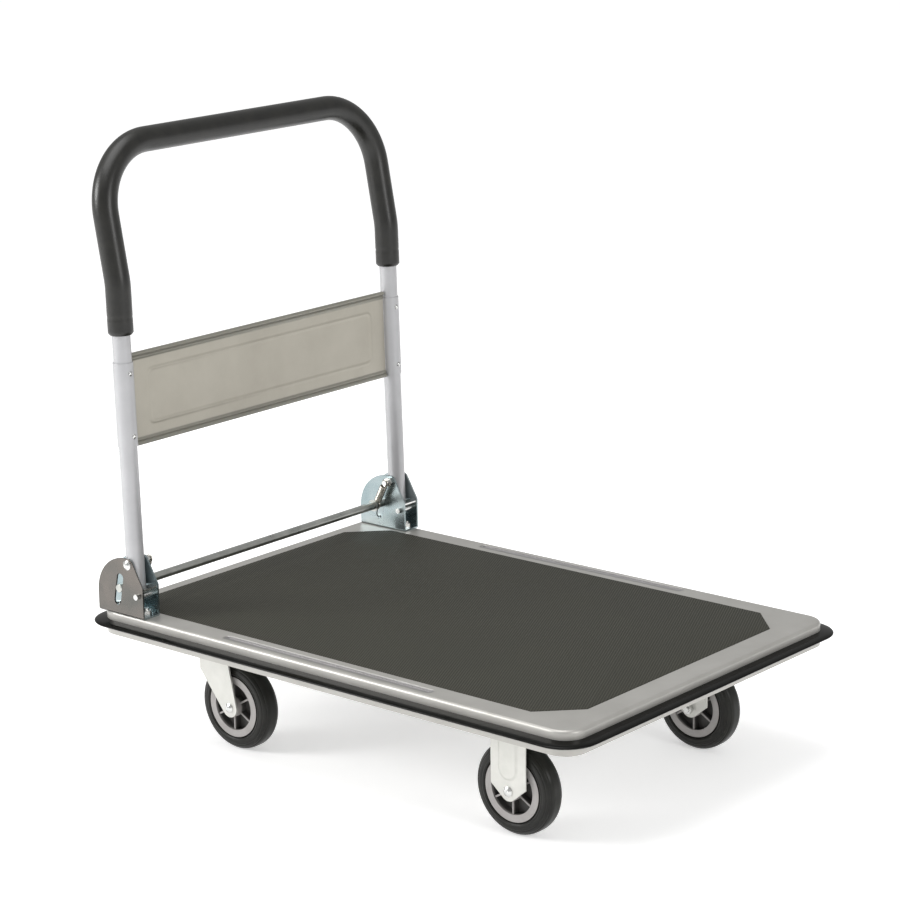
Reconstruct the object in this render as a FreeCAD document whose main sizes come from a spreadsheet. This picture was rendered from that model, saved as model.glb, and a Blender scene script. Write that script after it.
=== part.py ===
"""Folding platform cart: a pressed steel deck on two fixed and two swivel casters, with a folding handle.

Millimetres. +X points to the front of the cart (away from the handle), +Y to its left, +Z up.
The origin lies on the floor, under the middle of the deck.
"""

import FreeCAD, Part
import math
import os
import re

import Sketcher
from FreeCAD import Placement, Rotation, Vector

document = FreeCAD.newDocument("FoldingPlatformCart")
sheet = document.addObject("Spreadsheet::Sheet", "Sizes")

SIZES = (
    # Deck
    ("deck_length", 830, "pressed steel deck, along X"),
    ("deck_width", 570, "pressed steel deck, along Y"),
    ("deck_corner", 30, "corner radius in plan"),
    ("deck_sheet", 1.5, "sheet thickness of the deck"),
    ("edge_round", 5, "outer radius where the top turns into the skirt"),
    ("skirt_depth", 33, "top face to the lower edge of the skirt"),
    ("lip_width", 10, "lower edge turned inwards"),
    ("groove_length", 354, "pressed groove beside the mat"),
    ("groove_width", 5, "pressed groove"),
    ("groove_depth", 1, "pressed groove"),
    ("groove_inset", 15, "deck side to the middle of the groove"),
    ("mat_length", 770, "ribbed mat, along X"),
    ("mat_width", 500, "ribbed mat, along Y"),
    ("mat_chamfer", 50, "cut corners of the mat"),
    ("mat_shift", 8.5, "middle of the mat behind the middle of the deck"),
    ("mat_thickness", 2.3, "mat"),
    ("mat_recess", 1.5, "seat pressed into the deck for the mat"),
    ("mat_gap", 0.3, "mat to the wall of its seat"),
    ("bumper_reach", 18, "bumper strip out of the skirt"),
    ("bumper_height", 10, "bumper strip"),
    ("bumper_drop", 12, "deck top to the top of the bumper"),
    ("bumper_round", 4.5, "rounding of the bumper"),
    # Underframe
    ("channel_width", 100, "flat face of a cross channel"),
    ("channel_height", 30, "cross channel"),
    ("channel_sheet", 2, "sheet of the cross channels and ribs"),
    ("channel_flange", 15, "welding flanges of the cross channels"),
    ("channel_inset", 23, "deck side to the end of a cross channel"),
    ("rib_height", 18, "stiffening rib"),
    ("rib_width", 40, "stiffening rib"),
    ("rib_spacing", 220, "between the two ribs"),
    ("rib_end_gap", 2, "end of a rib to the cross channel"),
    # Handle bracket
    ("bracket_sheet", 2.5, "bracket"),
    ("bracket_rear", 60, "pivot to the rear edge"),
    ("bracket_front", 28, "pivot to the front edge"),
    ("bracket_side_gap", 0.3, "tube to each cheek"),
    ("pivot_height", 74, "handle pivot above the deck"),
    ("pivot_inset", 65.5, "deck rear end to the handle pivot"),
    ("crown_rise", 8.5, "top of the cheeks above the pivot"),
    ("crown_radius", 55, "rear shoulder of the cheeks"),
    ("front_wall", 45, "upright part of the front edge"),
    ("base_bolt_rear", 22, "rear edge to the rear bolt of the base"),
    ("base_bolt_front", 11, "front edge to the front bolt of the base"),
    ("slot_length", 34, "foot bar slot, centre to centre"),
    ("slot_lean", 11.3, "degrees from upright"),
    ("slot_drop", 21, "pivot down to the slot's upper centre"),
    ("slot_back", 2.9, "rear of the tube to the slot's upper centre"),
    ("bar_diameter", 12, "foot bar"),
    ("bar_rest", 16, "slot's upper centre to the resting bar"),
    ("bar_slot_gap", 0.25, "bar to each side of its slot"),
    ("bar_overhang", 0.5, "bar beyond the outer cheeks"),
    ("bar_end_round", 1, "rounding of the bar's ends"),
    ("clip_diameter", 18, "clip on the bar"),
    ("clip_thickness", 1.5, "clip on the bar"),
    ("stop_plate", 2.5, "sheet of the stop plate"),
    ("stop_plate_top", 43, "top of the stop plate above the deck"),
    ("stop_plate_depth", 15, "height of its rear flange"),
    ("stop_tenon", 8, "diameter of the stop plate's peened ends"),
    ("stop_tenon_proud", 4.5, "peened ends beyond the cheeks"),
    ("stop_gap", 0.35, "tube to the stop plate"),
    ("stop_setback", 1, "stop plate behind the bracket's front edge"),
    # Handle
    ("leg_spacing", 543, "between the middles of the two legs"),
    ("tube_diameter", 25.4, "handle tube"),
    ("tube_wall", 1.5, "handle tube"),
    ("lower_lean", 1.4, "degrees, leg below the knee"),
    ("upper_lean", 10.4, "degrees, leg above the knee"),
    ("knee_height", 389, "pivot to the knee"),
    ("handle_height", 569, "pivot to the middle of the top bar"),
    ("knee_bend", 110, "bend radius of the knee"),
    ("corner_bend", 92, "bend radius of the top corners"),
    ("foot_clearance", 0.6, "swinging foot of the leg to the resting bar"),
    ("grip_diameter", 35, "soft grip"),
    ("grip_bore_gap", 0.1, "grip to the tube"),
    ("grip_start_left", 328, "pivot to the lower end of the grip"),
    ("grip_start_right", 319, "pivot to the lower end of the grip"),
    ("panel_sheet", 1.2, "back panel"),
    ("panel_start", 165, "pivot to the lower end of the panel's wraps"),
    ("panel_height", 116, "wraps of the panel"),
    ("panel_wrap_gap", 0.1, "wraps to the tube"),
    ("hem_height", 11, "rolled edges of the panel"),
    ("hem_thickness", 8, "rolled edges of the panel"),
    ("hem_rise", 10, "upper rolled edge above the wraps"),
    ("hem_fall", 4, "lower rolled edge below the wraps"),
    ("hem_end_gap", 1, "end of a rolled edge to the wrap"),
    ("bead_width", 4, "embossed bead on the panel"),
    ("bead_height", 0.8, "embossed bead on the panel"),
    ("bead_side", 30, "tube to the bead"),
    ("bead_edge", 15, "rolled edge to the bead"),
    ("rivet_shank", 4, "panel rivet"),
    ("rivet_head", 7, "panel rivet"),
    ("rivet_inset", 14.5, "end of a wrap to its rivet"),
    ("rivet_tail", 1, "rivet inside the wall of the tube"),
    # Fasteners
    ("bolt_diameter", 8, "axle, pivot and deck bolts"),
    ("bolt_gap", 0.1, "bolt to a plain hole or nut"),
    ("pin_gap", 0.05, "running clearance on a radius"),
    ("nut_flats", 13, "M8 nut, across flats"),
    ("nut_height", 6.5, "M8 nut"),
    ("thin_nut_height", 5, "M8 thin nut on the pivot bolt"),
    ("dome_diameter", 14, "round bolt head"),
    ("dome_height", 4.5, "round bolt head"),
    ("dome_rim", 1.2, "straight rim of a round bolt head"),
    ("flat_head", 10.4, "low bolt head under the deck"),
    ("flat_head_height", 3, "low bolt head under the deck"),
    ("bolt_end", 3, "bolt beyond its nut"),
    # Return spring
    ("spring_wire", 1.6, "wire"),
    ("spring_diameter", 11, "outside of the coil"),
    ("spring_side_gap", 0.4, "coil to the nut and the clip beside it"),
    ("spring_eye_gap", 0.3, "eye to the stud or bar"),
    # Casters
    ("wheel_diameter", 125, "tyre"),
    ("wheel_width", 32, "tyre"),
    ("tyre_depth", 19, "tyre, on a radius"),
    ("tyre_round", 12, "tyre shoulders"),
    ("tyre_seat_gap", 0.05, "tyre to the hub rim"),
    ("hub_width", 31, "hub rim"),
    ("hub_rim", 10, "hub rim thickness"),
    ("hub_web", 6, "hub web"),
    ("hub_boss", 28, "hub boss diameter"),
    ("hub_rib", 2.5, "hub rib thickness"),
    ("hub_rib_width", 27, "hub rib, along the axle"),
    ("hub_rib_root", 1, "hub rib let into the boss and the rim"),
    ("sleeve_diameter", 12, "axle sleeve"),
    ("hub_side_gap", 0.7, "hub boss to each fork leg"),
    ("caster_height", 159, "floor to the top of the mounting plate"),
    ("plate_length", 95, "mounting plate, along X"),
    ("plate_width", 70, "mounting plate, along Y"),
    ("plate_sheet", 3, "mounting plate"),
    ("plate_bolts_long", 75, "bolt spacing along X"),
    ("plate_bolts_wide", 48, "bolt spacing along Y"),
    ("fork_gap", 41, "between the fork legs"),
    ("fork_sheet", 2.5, "fork"),
    ("fork_width", 57.5, "fixed fork leg, along X"),
    ("fork_shoulder", 6.5, "axle up to where the fixed fork starts to narrow"),
    ("fork_tip", 13.5, "radius of the fork's tip about the axle"),
    ("fork_rib", 1.5, "pressed ribs of the fixed fork"),
    ("fork_rib_width", 7, "pressed ribs of the fixed fork"),
    ("fork_rib_spacing", 34, "between the pressed ribs"),
    ("fixed_x", 264, "fixed casters in front of the middle"),
    ("fixed_spacing", 394, "between the two fixed casters"),
    ("swivel_x", 268, "swivel casters behind the middle"),
    ("swivel_spacing", 378, "between the two swivel casters"),
    ("swivel_trail", 30, "swivel axis to the axle"),
    ("swivel_fork_width", 49, "swivel fork leg at the crown, along X"),
    ("fork_waist", 40, "crown down to where the rear edge of the swivel fork starts to slant"),
    ("race_gap", 6, "mounting plate to the fork crown"),
    ("ball_diameter", 5.4, "swivel bearing balls"),
    ("race_radius", 21, "swivel bearing"),
    ("crown_diameter", 62, "fork crown"),
    ("crown_sheet", 3.5, "fork crown"),
    ("crown_lip", 2, "upturned edge of the fork crown"),
    ("crown_lip_height", 3, "upturned edge of the fork crown"),
    ("king_pin", 12, "swivel pin diameter"),
    ("king_nut_flats", 19, "swivel pin nut"),
    ("king_nut_height", 8, "swivel pin nut"),
    ("king_nut_gap", 0.3, "swivel pin nut to the crown"),
)

BALL_COUNT = 16
HUB_RIB_COUNT = 6
HEM_ROUNDING = 0.4  # radius of a rolled edge, over its thickness beyond the sheet
DOME_SHOULDER = 0.8  # height of a round bolt head half way out, over its full height
TOLERANCE = 1e-4  # for finding edges
NAMES = {name for name, value, note in SIZES}
for row, (name, value, note) in enumerate(SIZES, start=1):
    sheet.set(f"A{row}", name)
    sheet.set(f"B{row}", str(value))
    sheet.setAlias(f"B{row}", name)
    sheet.set(f"C{row}", note)
document.recompute()

# Stations that several pieces share, as expressions of the sizes above.
DECK = "(caster_height + channel_height + deck_sheet + mat_recess)"
PIVOT_X = "(-deck_length / 2 + pivot_inset)"
PIVOT_Z = f"({DECK} + pivot_height)"
LEG_Y = "(leg_spacing / 2)"
TUBE_R = "(tube_diameter / 2)"
CHEEK_GAP = "(tube_diameter + 2 * bracket_side_gap)"
BRACKET_WIDTH = f"({CHEEK_GAP} + 2 * bracket_sheet)"
SLOT_X = f"({TUBE_R} + slot_back)"
BAR_BACK = f"({SLOT_X} + bar_rest * sin(slot_lean))"
BAR_DROP = "(slot_drop + bar_rest * cos(slot_lean))"
BAR_DISTANCE = f"sqrt({BAR_BACK} ^ 2 + {BAR_DROP} ^ 2)"
FOOT_REACH = f"({BAR_DISTANCE} - bar_diameter / 2 - foot_clearance)"
FOOT_DROP = f"sqrt({FOOT_REACH} ^ 2 - {TUBE_R} ^ 2)"
SPRING_OFFSET = "(thin_nut_height + spring_side_gap + spring_diameter / 2)"
SPRING_Y = f"({LEG_Y} - {BRACKET_WIDTH} / 2 - {SPRING_OFFSET})"
AXLE_Z = "(wheel_diameter / 2)"
FORK_OUTER = "(fork_gap + 2 * fork_sheet)"
PLATE_UNDER = "(caster_height - plate_sheet)"
CROWN_TOP = f"({PLATE_UNDER} - race_gap)"
HUB_RADIUS = "(wheel_diameter / 2 - tyre_depth)"
BASE_BOLTS = ("(-bracket_rear + base_bolt_rear)", "(bracket_front - base_bolt_front)")


def bound(expression):
    """The expression with each size name pointing at its cell of the sheet."""
    cell = lambda word: "Sizes." + word[0] if word[0] in NAMES else word[0]
    return re.sub(r"[a-z_]+", cell, str(expression))


def size(expression):
    """The value of an expression of the sizes."""
    return float(sheet.evalExpression(str(expression)))


# Sketches and features


def new_body(name, x="0", y="0", z="0", tilt=None):
    """A body at (x, y, z), turned about Y by tilt degrees when one is given."""
    body = document.addObject("PartDesign::Body", name)
    body.Label = name
    place(body, x, y, z, tilt)
    return body


def place(item, x, y, z, tilt=None):
    """Ties an item's placement to the sizes."""
    if tilt is not None:
        item.Placement = Placement(Vector(), Rotation(Vector(0, 1, 0), size(tilt)))
        item.setExpression("Placement.Rotation.Angle", bound(tilt))
    item.setExpression("Placement.Base.x", bound(x))
    item.setExpression("Placement.Base.y", bound(y))
    item.setExpression("Placement.Base.z", bound(z))


def new_sketch(body, plane, offset="0"):
    """A sketch on one of the body's own origin planes, offset along its normal."""
    sketch = body.newObject("Sketcher::SketchObject", "Sketch")
    support = next(item for item in body.Origin.OriginFeatures if item.Role == plane)
    sketch.AttachmentSupport = (support, [""])
    sketch.MapMode = "FlatFace"
    sketch.setExpression("AttachmentOffset.Base.z", bound(offset))
    return sketch


def hold(sketch, kind, geometry, point, expression):
    """Holds a point's distance from the sketch origin along one axis."""
    constraint = Sketcher.Constraint(kind, -1, 1, geometry, point, size(expression))
    index = sketch.addConstraint(constraint)
    sketch.setExpression(f"Constraints[{index}]", bound(expression))


def outline(sketch, steps):
    """Draws a closed outline. A step is (x, y), a line to there, or (x, y, centre x, centre y, turn), an arc
    to there about the centre, with turn 1 for anticlockwise and -1 for clockwise."""
    ends = [Vector(size(step[0]), size(step[1]), 0) for step in steps]
    first = sketch.GeometryCount
    points = []
    for index, step in enumerate(steps):
        start, end = ends[index - 1], ends[index]
        if len(step) == 2:
            sketch.addGeometry(Part.LineSegment(start, end), False)
            points.append((1, 2))
            continue
        centre = Vector(size(step[2]), size(step[3]), 0)
        circle = Part.Circle(centre, Vector(0, 0, 1), (start - centre).Length)
        angles = [math.atan2((p - centre).y, (p - centre).x) for p in (start, end)]
        if step[4] > 0:
            sketch.addGeometry(Part.ArcOfCircle(circle, angles[0], angles[1]), False)
            points.append((1, 2))
        else:
            sketch.addGeometry(Part.ArcOfCircle(circle, angles[1], angles[0]), False)
            points.append((2, 1))
    for index in range(len(steps)):
        before = (index - 1) % len(steps)
        joined = (first + before, points[before][1], first + index, points[index][0])
        sketch.addConstraint(Sketcher.Constraint("Coincident", *joined))
    for index, step in enumerate(steps):
        held = ["DistanceX", "DistanceY"]
        if len(step) > 2:
            hold(sketch, "DistanceX", first + index, 3, step[2])
            hold(sketch, "DistanceY", first + index, 3, step[3])
            radius = ends[index] - Vector(size(step[2]), size(step[3]), 0)
            held.remove("DistanceX" if abs(radius.x) > abs(radius.y) else "DistanceY")
        for kind in held:
            value = step[0] if kind == "DistanceX" else step[1]
            hold(sketch, kind, first + index, points[index][1], value)


def circle(sketch, diameter, x="0", y="0"):
    """Draws a circle about (x, y)."""
    centre = Vector(size(x), size(y), 0)
    index = sketch.addGeometry(Part.Circle(centre, Vector(0, 0, 1), size(diameter) / 2), False)
    hold(sketch, "DistanceX", index, 3, x)
    hold(sketch, "DistanceY", index, 3, y)
    constraint = sketch.addConstraint(Sketcher.Constraint("Diameter", index, size(diameter)))
    sketch.setExpression(f"Constraints[{constraint}]", bound(diameter))


def rectangle(sketch, length, width, x="0", y="0"):
    """Draws a rectangle about (x, y)."""
    left, right = f"{x} - ({length}) / 2", f"{x} + ({length}) / 2"
    low, high = f"{y} - ({width}) / 2", f"{y} + ({width}) / 2"
    outline(sketch, [(right, low), (right, high), (left, high), (left, low)])


def rounded_rectangle(sketch, length, width, radius, x="0"):
    """Draws a rectangle with round corners about (x, 0)."""
    steps = []
    for across, along in ((1, -1), (1, 1), (-1, 1), (-1, -1)):
        edge_x, edge_y = f"{x} + {across} * ({length}) / 2", f"{along} * ({width}) / 2"
        middle_x, middle_y = f"{edge_x} - {across} * ({radius})", f"{edge_y} - {along} * ({radius})"
        side = (edge_x, middle_y)
        end = (middle_x, edge_y)
        if across * along < 0:
            side, end = end, side
        steps += [side, (*end, middle_x, middle_y, 1)]
    outline(sketch, steps)


def cut_rectangle(sketch, length, width, cut, x="0"):
    """Draws a rectangle about (x, 0) with its corners cut off at 45 degrees."""
    steps = []
    for across, along in ((1, -1), (1, 1), (-1, 1), (-1, -1)):
        edge_x, edge_y = f"{x} + {across} * ({length}) / 2", f"{along} * ({width}) / 2"
        pair = [(edge_x, f"{edge_y} - {along} * ({cut})"), (f"{edge_x} - {across} * ({cut})", edge_y)]
        steps += pair[::-1] if across * along < 0 else pair
    outline(sketch, steps)


def slot(sketch, width, x, y, other_x, other_y, lean):
    """Draws a slot from (x, y) down to (other x, other y), along a line that leans by lean degrees."""
    side_x, side_y = f"({width}) / 2 * cos({lean})", f"({width}) / 2 * sin({lean})"
    outline(sketch, [
        (f"{x} + {side_x}", f"{y} - {side_y}"),
        (f"{x} - {side_x}", f"{y} + {side_y}", x, y, 1),
        (f"{other_x} - {side_x}", f"{other_y} + {side_y}"),
        (f"{other_x} + {side_x}", f"{other_y} - {side_y}", other_x, other_y, 1),
    ])


def extrude(kind, body, sketch, length, direction):
    """Adds a pad or pocket that runs along the sketch normal (1), against it (-1) or both ways (0)."""
    feature = body.newObject(f"PartDesign::{kind}", kind)
    feature.Profile = sketch
    feature.setExpression("Length", bound(length))
    if direction == 0:
        feature.SideType = "Symmetric"
    else:
        feature.Reversed = (direction < 0) == (kind == "Pad")
    sketch.Visibility = False
    return feature


def pad(body, sketch, length, direction=1):
    """Adds material over a sketch."""
    return extrude("Pad", body, sketch, length, direction)


def pocket(body, sketch, length, direction=-1):
    """Cuts a sketch out of the body."""
    return extrude("Pocket", body, sketch, length, direction)


def revolve(body, sketch, axis):
    """Turns a sketch once round one of its own axes."""
    feature = body.newObject("PartDesign::Revolution", "Revolution")
    feature.Profile = sketch
    feature.ReferenceAxis = (sketch, [axis])
    feature.Angle = 360
    return feature


def round_edges(body, radius, wanted):
    """Rounds the edges of the body for which wanted(edge's bounding box) is true."""
    document.recompute()
    base = body.Tip
    edges = enumerate(base.Shape.Edges, start=1)
    picked = [f"Edge{index}" for index, edge in edges if wanted(edge.BoundBox)]
    feature = body.newObject("PartDesign::Fillet", "Fillet")
    feature.Base = (base, picked)
    feature.setExpression("Radius", bound(radius))
    return feature


def level(expression):
    """A test for edges that lie in the horizontal plane at a height in the body."""
    height = size(expression)
    return lambda box: abs(box.ZMin - height) < TOLERANCE and abs(box.ZMax - height) < TOLERANCE


# Deck


def deck_pan():
    """The pressed sheet deck, with its turned-in lip, mat seat and two grooves."""
    body = new_body("deck_pan", z=DECK)
    sketch = new_sketch(body, "XY_Plane")
    rounded_rectangle(sketch, "deck_length", "deck_width", "deck_corner")
    pad(body, sketch, "skirt_depth", -1)

    sketch = new_sketch(body, "XY_Plane", "-skirt_depth")
    inner = ("deck_length - 2 * deck_sheet", "deck_width - 2 * deck_sheet", "deck_corner - deck_sheet")
    rounded_rectangle(sketch, *inner)
    pocket(body, sketch, "skirt_depth - deck_sheet", 1)
    round_edges(body, "edge_round - deck_sheet", level("-deck_sheet"))
    round_edges(body, "edge_round", level("0"))

    sketch = new_sketch(body, "XY_Plane", "-skirt_depth")
    middle = ("deck_length - deck_sheet", "deck_width - deck_sheet", "deck_corner - deck_sheet / 2")
    rounded_rectangle(sketch, *middle)
    opening = ("deck_length - 2 * lip_width", "deck_width - 2 * lip_width", "deck_corner - lip_width")
    rounded_rectangle(sketch, *opening)
    pad(body, sketch, "deck_sheet")

    seat_margin = "mat_gap + deck_sheet"
    sketch = new_sketch(body, "XY_Plane", "-deck_sheet")
    outer = (f"mat_length + 2 * ({seat_margin})", f"mat_width + 2 * ({seat_margin})")
    cut_rectangle(sketch, *outer, "mat_chamfer", "-mat_shift")
    pad(body, sketch, "mat_recess", -1)
    sketch = new_sketch(body, "XY_Plane")
    cut_rectangle(sketch, "mat_length + 2 * mat_gap", "mat_width + 2 * mat_gap", "mat_chamfer", "-mat_shift")
    pocket(body, sketch, "mat_recess")

    under = ("groove_width + 2 * deck_sheet", "-deck_sheet", pad)
    for width, offset, action in (under, ("groove_width", "0", pocket)):
        sketch = new_sketch(body, "XY_Plane", offset)
        for side in (1, -1):
            y = f"{side} * (deck_width / 2 - groove_inset)"
            slot(sketch, width, "groove_length / 2", y, "-groove_length / 2", y, 90)
        action(body, sketch, "groove_depth", -1)

    sketch = new_sketch(body, "XY_Plane")
    for side in (1, -1):
        for x in BASE_BOLTS:
            circle(sketch, "bolt_diameter + 2 * bolt_gap", f"{PIVOT_X} + {x}", f"{side} * {LEG_Y}")
    pocket(body, sketch, "2 * deck_sheet")


def deck_mat():
    """The ribbed mat in its seat, with four cut corners."""
    body = new_body("deck_mat", x="-mat_shift", z=f"{DECK} - mat_recess")
    sketch = new_sketch(body, "XY_Plane")
    cut_rectangle(sketch, "mat_length", "mat_width", "mat_chamfer")
    pad(body, sketch, "mat_thickness")


def bumper_strip():
    """The soft strip round the skirt."""
    body = new_body("bumper_strip", z=f"{DECK} - bumper_drop - bumper_height")
    sketch = new_sketch(body, "XY_Plane")
    outer = ("deck_length + 2 * bumper_reach", "deck_width + 2 * bumper_reach", "deck_corner + bumper_reach")
    rounded_rectangle(sketch, *outer)
    rounded_rectangle(sketch, "deck_length", "deck_width", "deck_corner")
    pad(body, sketch, "bumper_height")
    reach = size("deck_length / 2 + deck_corner / 4")
    side = size("deck_width / 2 + deck_corner / 4")
    outside = lambda box: max(box.XMax, -box.XMin) > reach or max(box.YMax, -box.YMin) > side
    flat = lambda box: box.ZLength < TOLERANCE
    round_edges(body, "bumper_round", lambda box: flat(box) and outside(box))


def cross_channel(name, x):
    """A hat channel across the deck, which carries two casters."""
    body = new_body(name, x=x, z="caster_height")
    half, inner = "(channel_width / 2)", "(channel_width / 2 - channel_sheet)"
    flange, under = "(channel_width / 2 + channel_flange)", "(channel_height - channel_sheet)"
    right = [
        (half, "0"),
        (half, under),
        (flange, under),
        (flange, "channel_height"),
        (inner, "channel_height"),
        (inner, "channel_sheet"),
    ]
    left = [(f"-{across}", up) for across, up in reversed(right)]
    sketch = new_sketch(body, "XZ_Plane")
    outline(sketch, right + left)
    pad(body, sketch, "deck_width - 2 * channel_inset", 0)
    return body


def channel_holes(body, spacing):
    """The bolt holes for the two casters of a channel."""
    sketch = new_sketch(body, "XY_Plane")
    for side in (1, -1):
        plate_holes(sketch, f"{side} * {spacing} / 2")
    pocket(body, sketch, "channel_sheet", 1)


def plate_holes(sketch, y="0"):
    """The four bolt holes of a mounting plate whose middle is at (0, y)."""
    for along in (1, -1):
        for across in (1, -1):
            x = f"{along} * plate_bolts_long / 2"
            circle(sketch, "bolt_diameter + 2 * bolt_gap", x, f"{y} + {across} * plate_bolts_wide / 2")


def stiffening_rib(name, side):
    """A hat rib under the deck, between the two cross channels."""
    front_end = "(fixed_x - channel_width / 2 - channel_flange - rib_end_gap)"
    rear_end = "(-swivel_x + channel_width / 2 + channel_flange + rib_end_gap)"
    middle = f"({front_end} + {rear_end}) / 2"
    body = new_body(name, middle, f"{side} * rib_spacing / 2", "caster_height + channel_height")
    half, inner = "(rib_width / 2)", "(rib_width / 2 - channel_sheet)"
    flange = "(rib_width / 2 + channel_flange)"
    right = [
        (half, "-rib_height"),
        (half, "-channel_sheet"),
        (flange, "-channel_sheet"),
        (flange, "0"),
        (inner, "0"),
        (inner, "-rib_height + channel_sheet"),
    ]
    left = [(f"-{across}", up) for across, up in reversed(right)]
    sketch = new_sketch(body, "YZ_Plane")
    outline(sketch, right + left)
    pad(body, sketch, f"{front_end} - {rear_end}", 0)


# Handle brackets


def bracket(name, side):
    """A folded sheet bracket: two cheeks on a base, with the pivot hole and the slots of the foot bar."""
    body = new_body(name, PIVOT_X, f"{side} * {LEG_Y}", DECK)
    top = "(pivot_height + crown_rise)"
    crown_x, crown_z = "(crown_radius - bracket_rear)", f"({top} - crown_radius)"
    nose = f"({TUBE_R} / 2)"
    sketch = new_sketch(body, "XZ_Plane")
    outline(sketch, [
        ("bracket_front", "0"),
        ("bracket_front", "front_wall"),
        (nose, top),
        (crown_x, top),
        ("-bracket_rear", crown_z, crown_x, crown_z, 1),
        ("-bracket_rear", "0"),
    ])
    pad(body, sketch, BRACKET_WIDTH, 0)
    nose_x, top_z = size(nose), size(top)
    off_nose = lambda box: abs(box.XMin - nose_x) + abs(box.XMax - nose_x) + abs(box.ZMin - top_z)
    across = size(BRACKET_WIDTH) / 2
    round_edges(body, "crown_rise", lambda box: off_nose(box) < TOLERANCE and box.YLength > across)
    round_edges(body, "bracket_sheet", lambda box: level("0")(box) and box.XLength > box.YLength)

    sketch = new_sketch(body, "XZ_Plane")
    inside_low, inside_high = "bracket_sheet", f"{top} + bracket_sheet"
    middle = f"({inside_low} + {inside_high}) / 2"
    length = "bracket_front + bracket_rear + 2 * bracket_sheet"
    rectangle(sketch, length, f"{inside_high} - ({inside_low})", "(bracket_front - bracket_rear) / 2", middle)
    pocket(body, sketch, CHEEK_GAP, 0)

    sketch = new_sketch(body, "XZ_Plane")
    circle(sketch, "bolt_diameter + 2 * bolt_gap", "0", "pivot_height")
    circle(sketch, "stop_tenon + 2 * bolt_gap", stop_tenon_x(), stop_tenon_z())
    slot_x, slot_z = f"-{SLOT_X}", "(pivot_height - slot_drop)"
    end_x, end_z = f"({slot_x} - slot_length * sin(slot_lean))", f"({slot_z} - slot_length * cos(slot_lean))"
    slot(sketch, "bar_diameter + 2 * bar_slot_gap", slot_x, slot_z, end_x, end_z, "slot_lean")
    pocket(body, sketch, f"2 * {BRACKET_WIDTH}", 0)

    sketch = new_sketch(body, "XY_Plane")
    for x in BASE_BOLTS:
        circle(sketch, "bolt_diameter + 2 * bolt_gap", x)
    pocket(body, sketch, "bracket_sheet", 1)


def stop_face():
    """Where the stop plate's rear face stands: just in front of the leg."""
    below_pivot = "(pivot_height - stop_plate_top + stop_plate_depth)"
    return f"({TUBE_R} / cos(lower_lean) + {below_pivot} * tan(lower_lean) + stop_gap)"


def stop_tenon_x():
    """The middle of the stop plate's peened ends."""
    return f"({stop_face()} + stop_tenon / 2)"


def stop_tenon_z():
    """The height of the stop plate's peened ends."""
    return "(stop_plate_top - stop_plate_depth + stop_tenon / 2)"


def stop_plate(name, side):
    """The angle plate between the cheeks that keeps the handle from tipping back, peened through both."""
    body = new_body(name, PIVOT_X, f"{side} * {LEG_Y}", DECK)
    rear, front = stop_face(), "(bracket_front - stop_setback)"
    low, high = "(stop_plate_top - stop_plate_depth)", "stop_plate_top"
    sketch = new_sketch(body, "XZ_Plane")
    outline(sketch, [
        (f"{rear} + stop_plate", low),
        (f"{rear} + stop_plate", f"{high} - stop_plate"),
        (front, f"{high} - stop_plate"),
        (front, high),
        (rear, high),
        (rear, low),
    ])
    pad(body, sketch, CHEEK_GAP, 0)
    sketch = new_sketch(body, "XZ_Plane")
    circle(sketch, "stop_tenon", stop_tenon_x(), stop_tenon_z())
    pad(body, sketch, f"{BRACKET_WIDTH} + 2 * stop_tenon_proud", 0)


def domed_bolt(body, side, head, shank):
    """A round-headed bolt along Y. side is the way the head points; head and shank are its two ends on Y."""
    sketch = new_sketch(body, "YZ_Plane")
    crown, edge, rim = f"{head} + {side} * dome_height", f"{head} + {side} * dome_rim", "dome_diameter / 2"
    shoulder, flat = f"{head} + {side} * dome_height * {DOME_SHOULDER}", "dome_diameter / 4"
    steps = [
        (shank, "0"),
        (shank, "bolt_diameter / 2"),
        (head, "bolt_diameter / 2"),
        (head, rim),
        (edge, rim),
        (shoulder, flat),
        (crown, "0"),
    ]
    outline(sketch, steps)
    revolve(body, sketch, "H_Axis")


def pivot_bolt(name, side):
    """The handle's pivot, with a long inner end that also holds the eye of the return spring."""
    body = new_body(name, PIVOT_X, f"{side} * {LEG_Y}", PIVOT_Z)
    end = f"-{side} * ({BRACKET_WIDTH} / 2 + {SPRING_OFFSET} + spring_wire + 2 * spring_eye_gap)"
    domed_bolt(body, side, f"{side} * {BRACKET_WIDTH} / 2", end)


def hexagon(flats, height, bore):
    """A hexagon nut on the XY plane, with its bore along Z."""
    radius = flats / math.sqrt(3)
    turns = [math.radians(60 * corner) for corner in range(7)]
    corners = [Vector(radius * math.cos(turn), radius * math.sin(turn), 0) for turn in turns]
    block = Part.Face(Part.makePolygon(corners)).extrude(Vector(0, 0, height))
    return block.cut(Part.makeCylinder(bore / 2, height))


def group(name, shapes):
    """A node of like pieces, each one a separate solid."""
    item = document.addObject("Part::Feature", name)
    item.Label = name
    item.Shape = Part.makeCompound(shapes)
    return item


def moved(shape, x, y, z, rotation=Rotation()):
    """A copy of a shape, turned and then moved."""
    copy = shape.copy()
    copy.Placement = Placement(Vector(size(x), size(y), size(z)), rotation)
    return copy


TO_LEFT = Rotation(Vector(1, 0, 0), -90)
TO_RIGHT = Rotation(Vector(1, 0, 0), 90)


def standard_nut():
    """An M8 nut."""
    return hexagon(size("nut_flats"), size("nut_height"), size("bolt_diameter + 2 * bolt_gap"))


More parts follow.
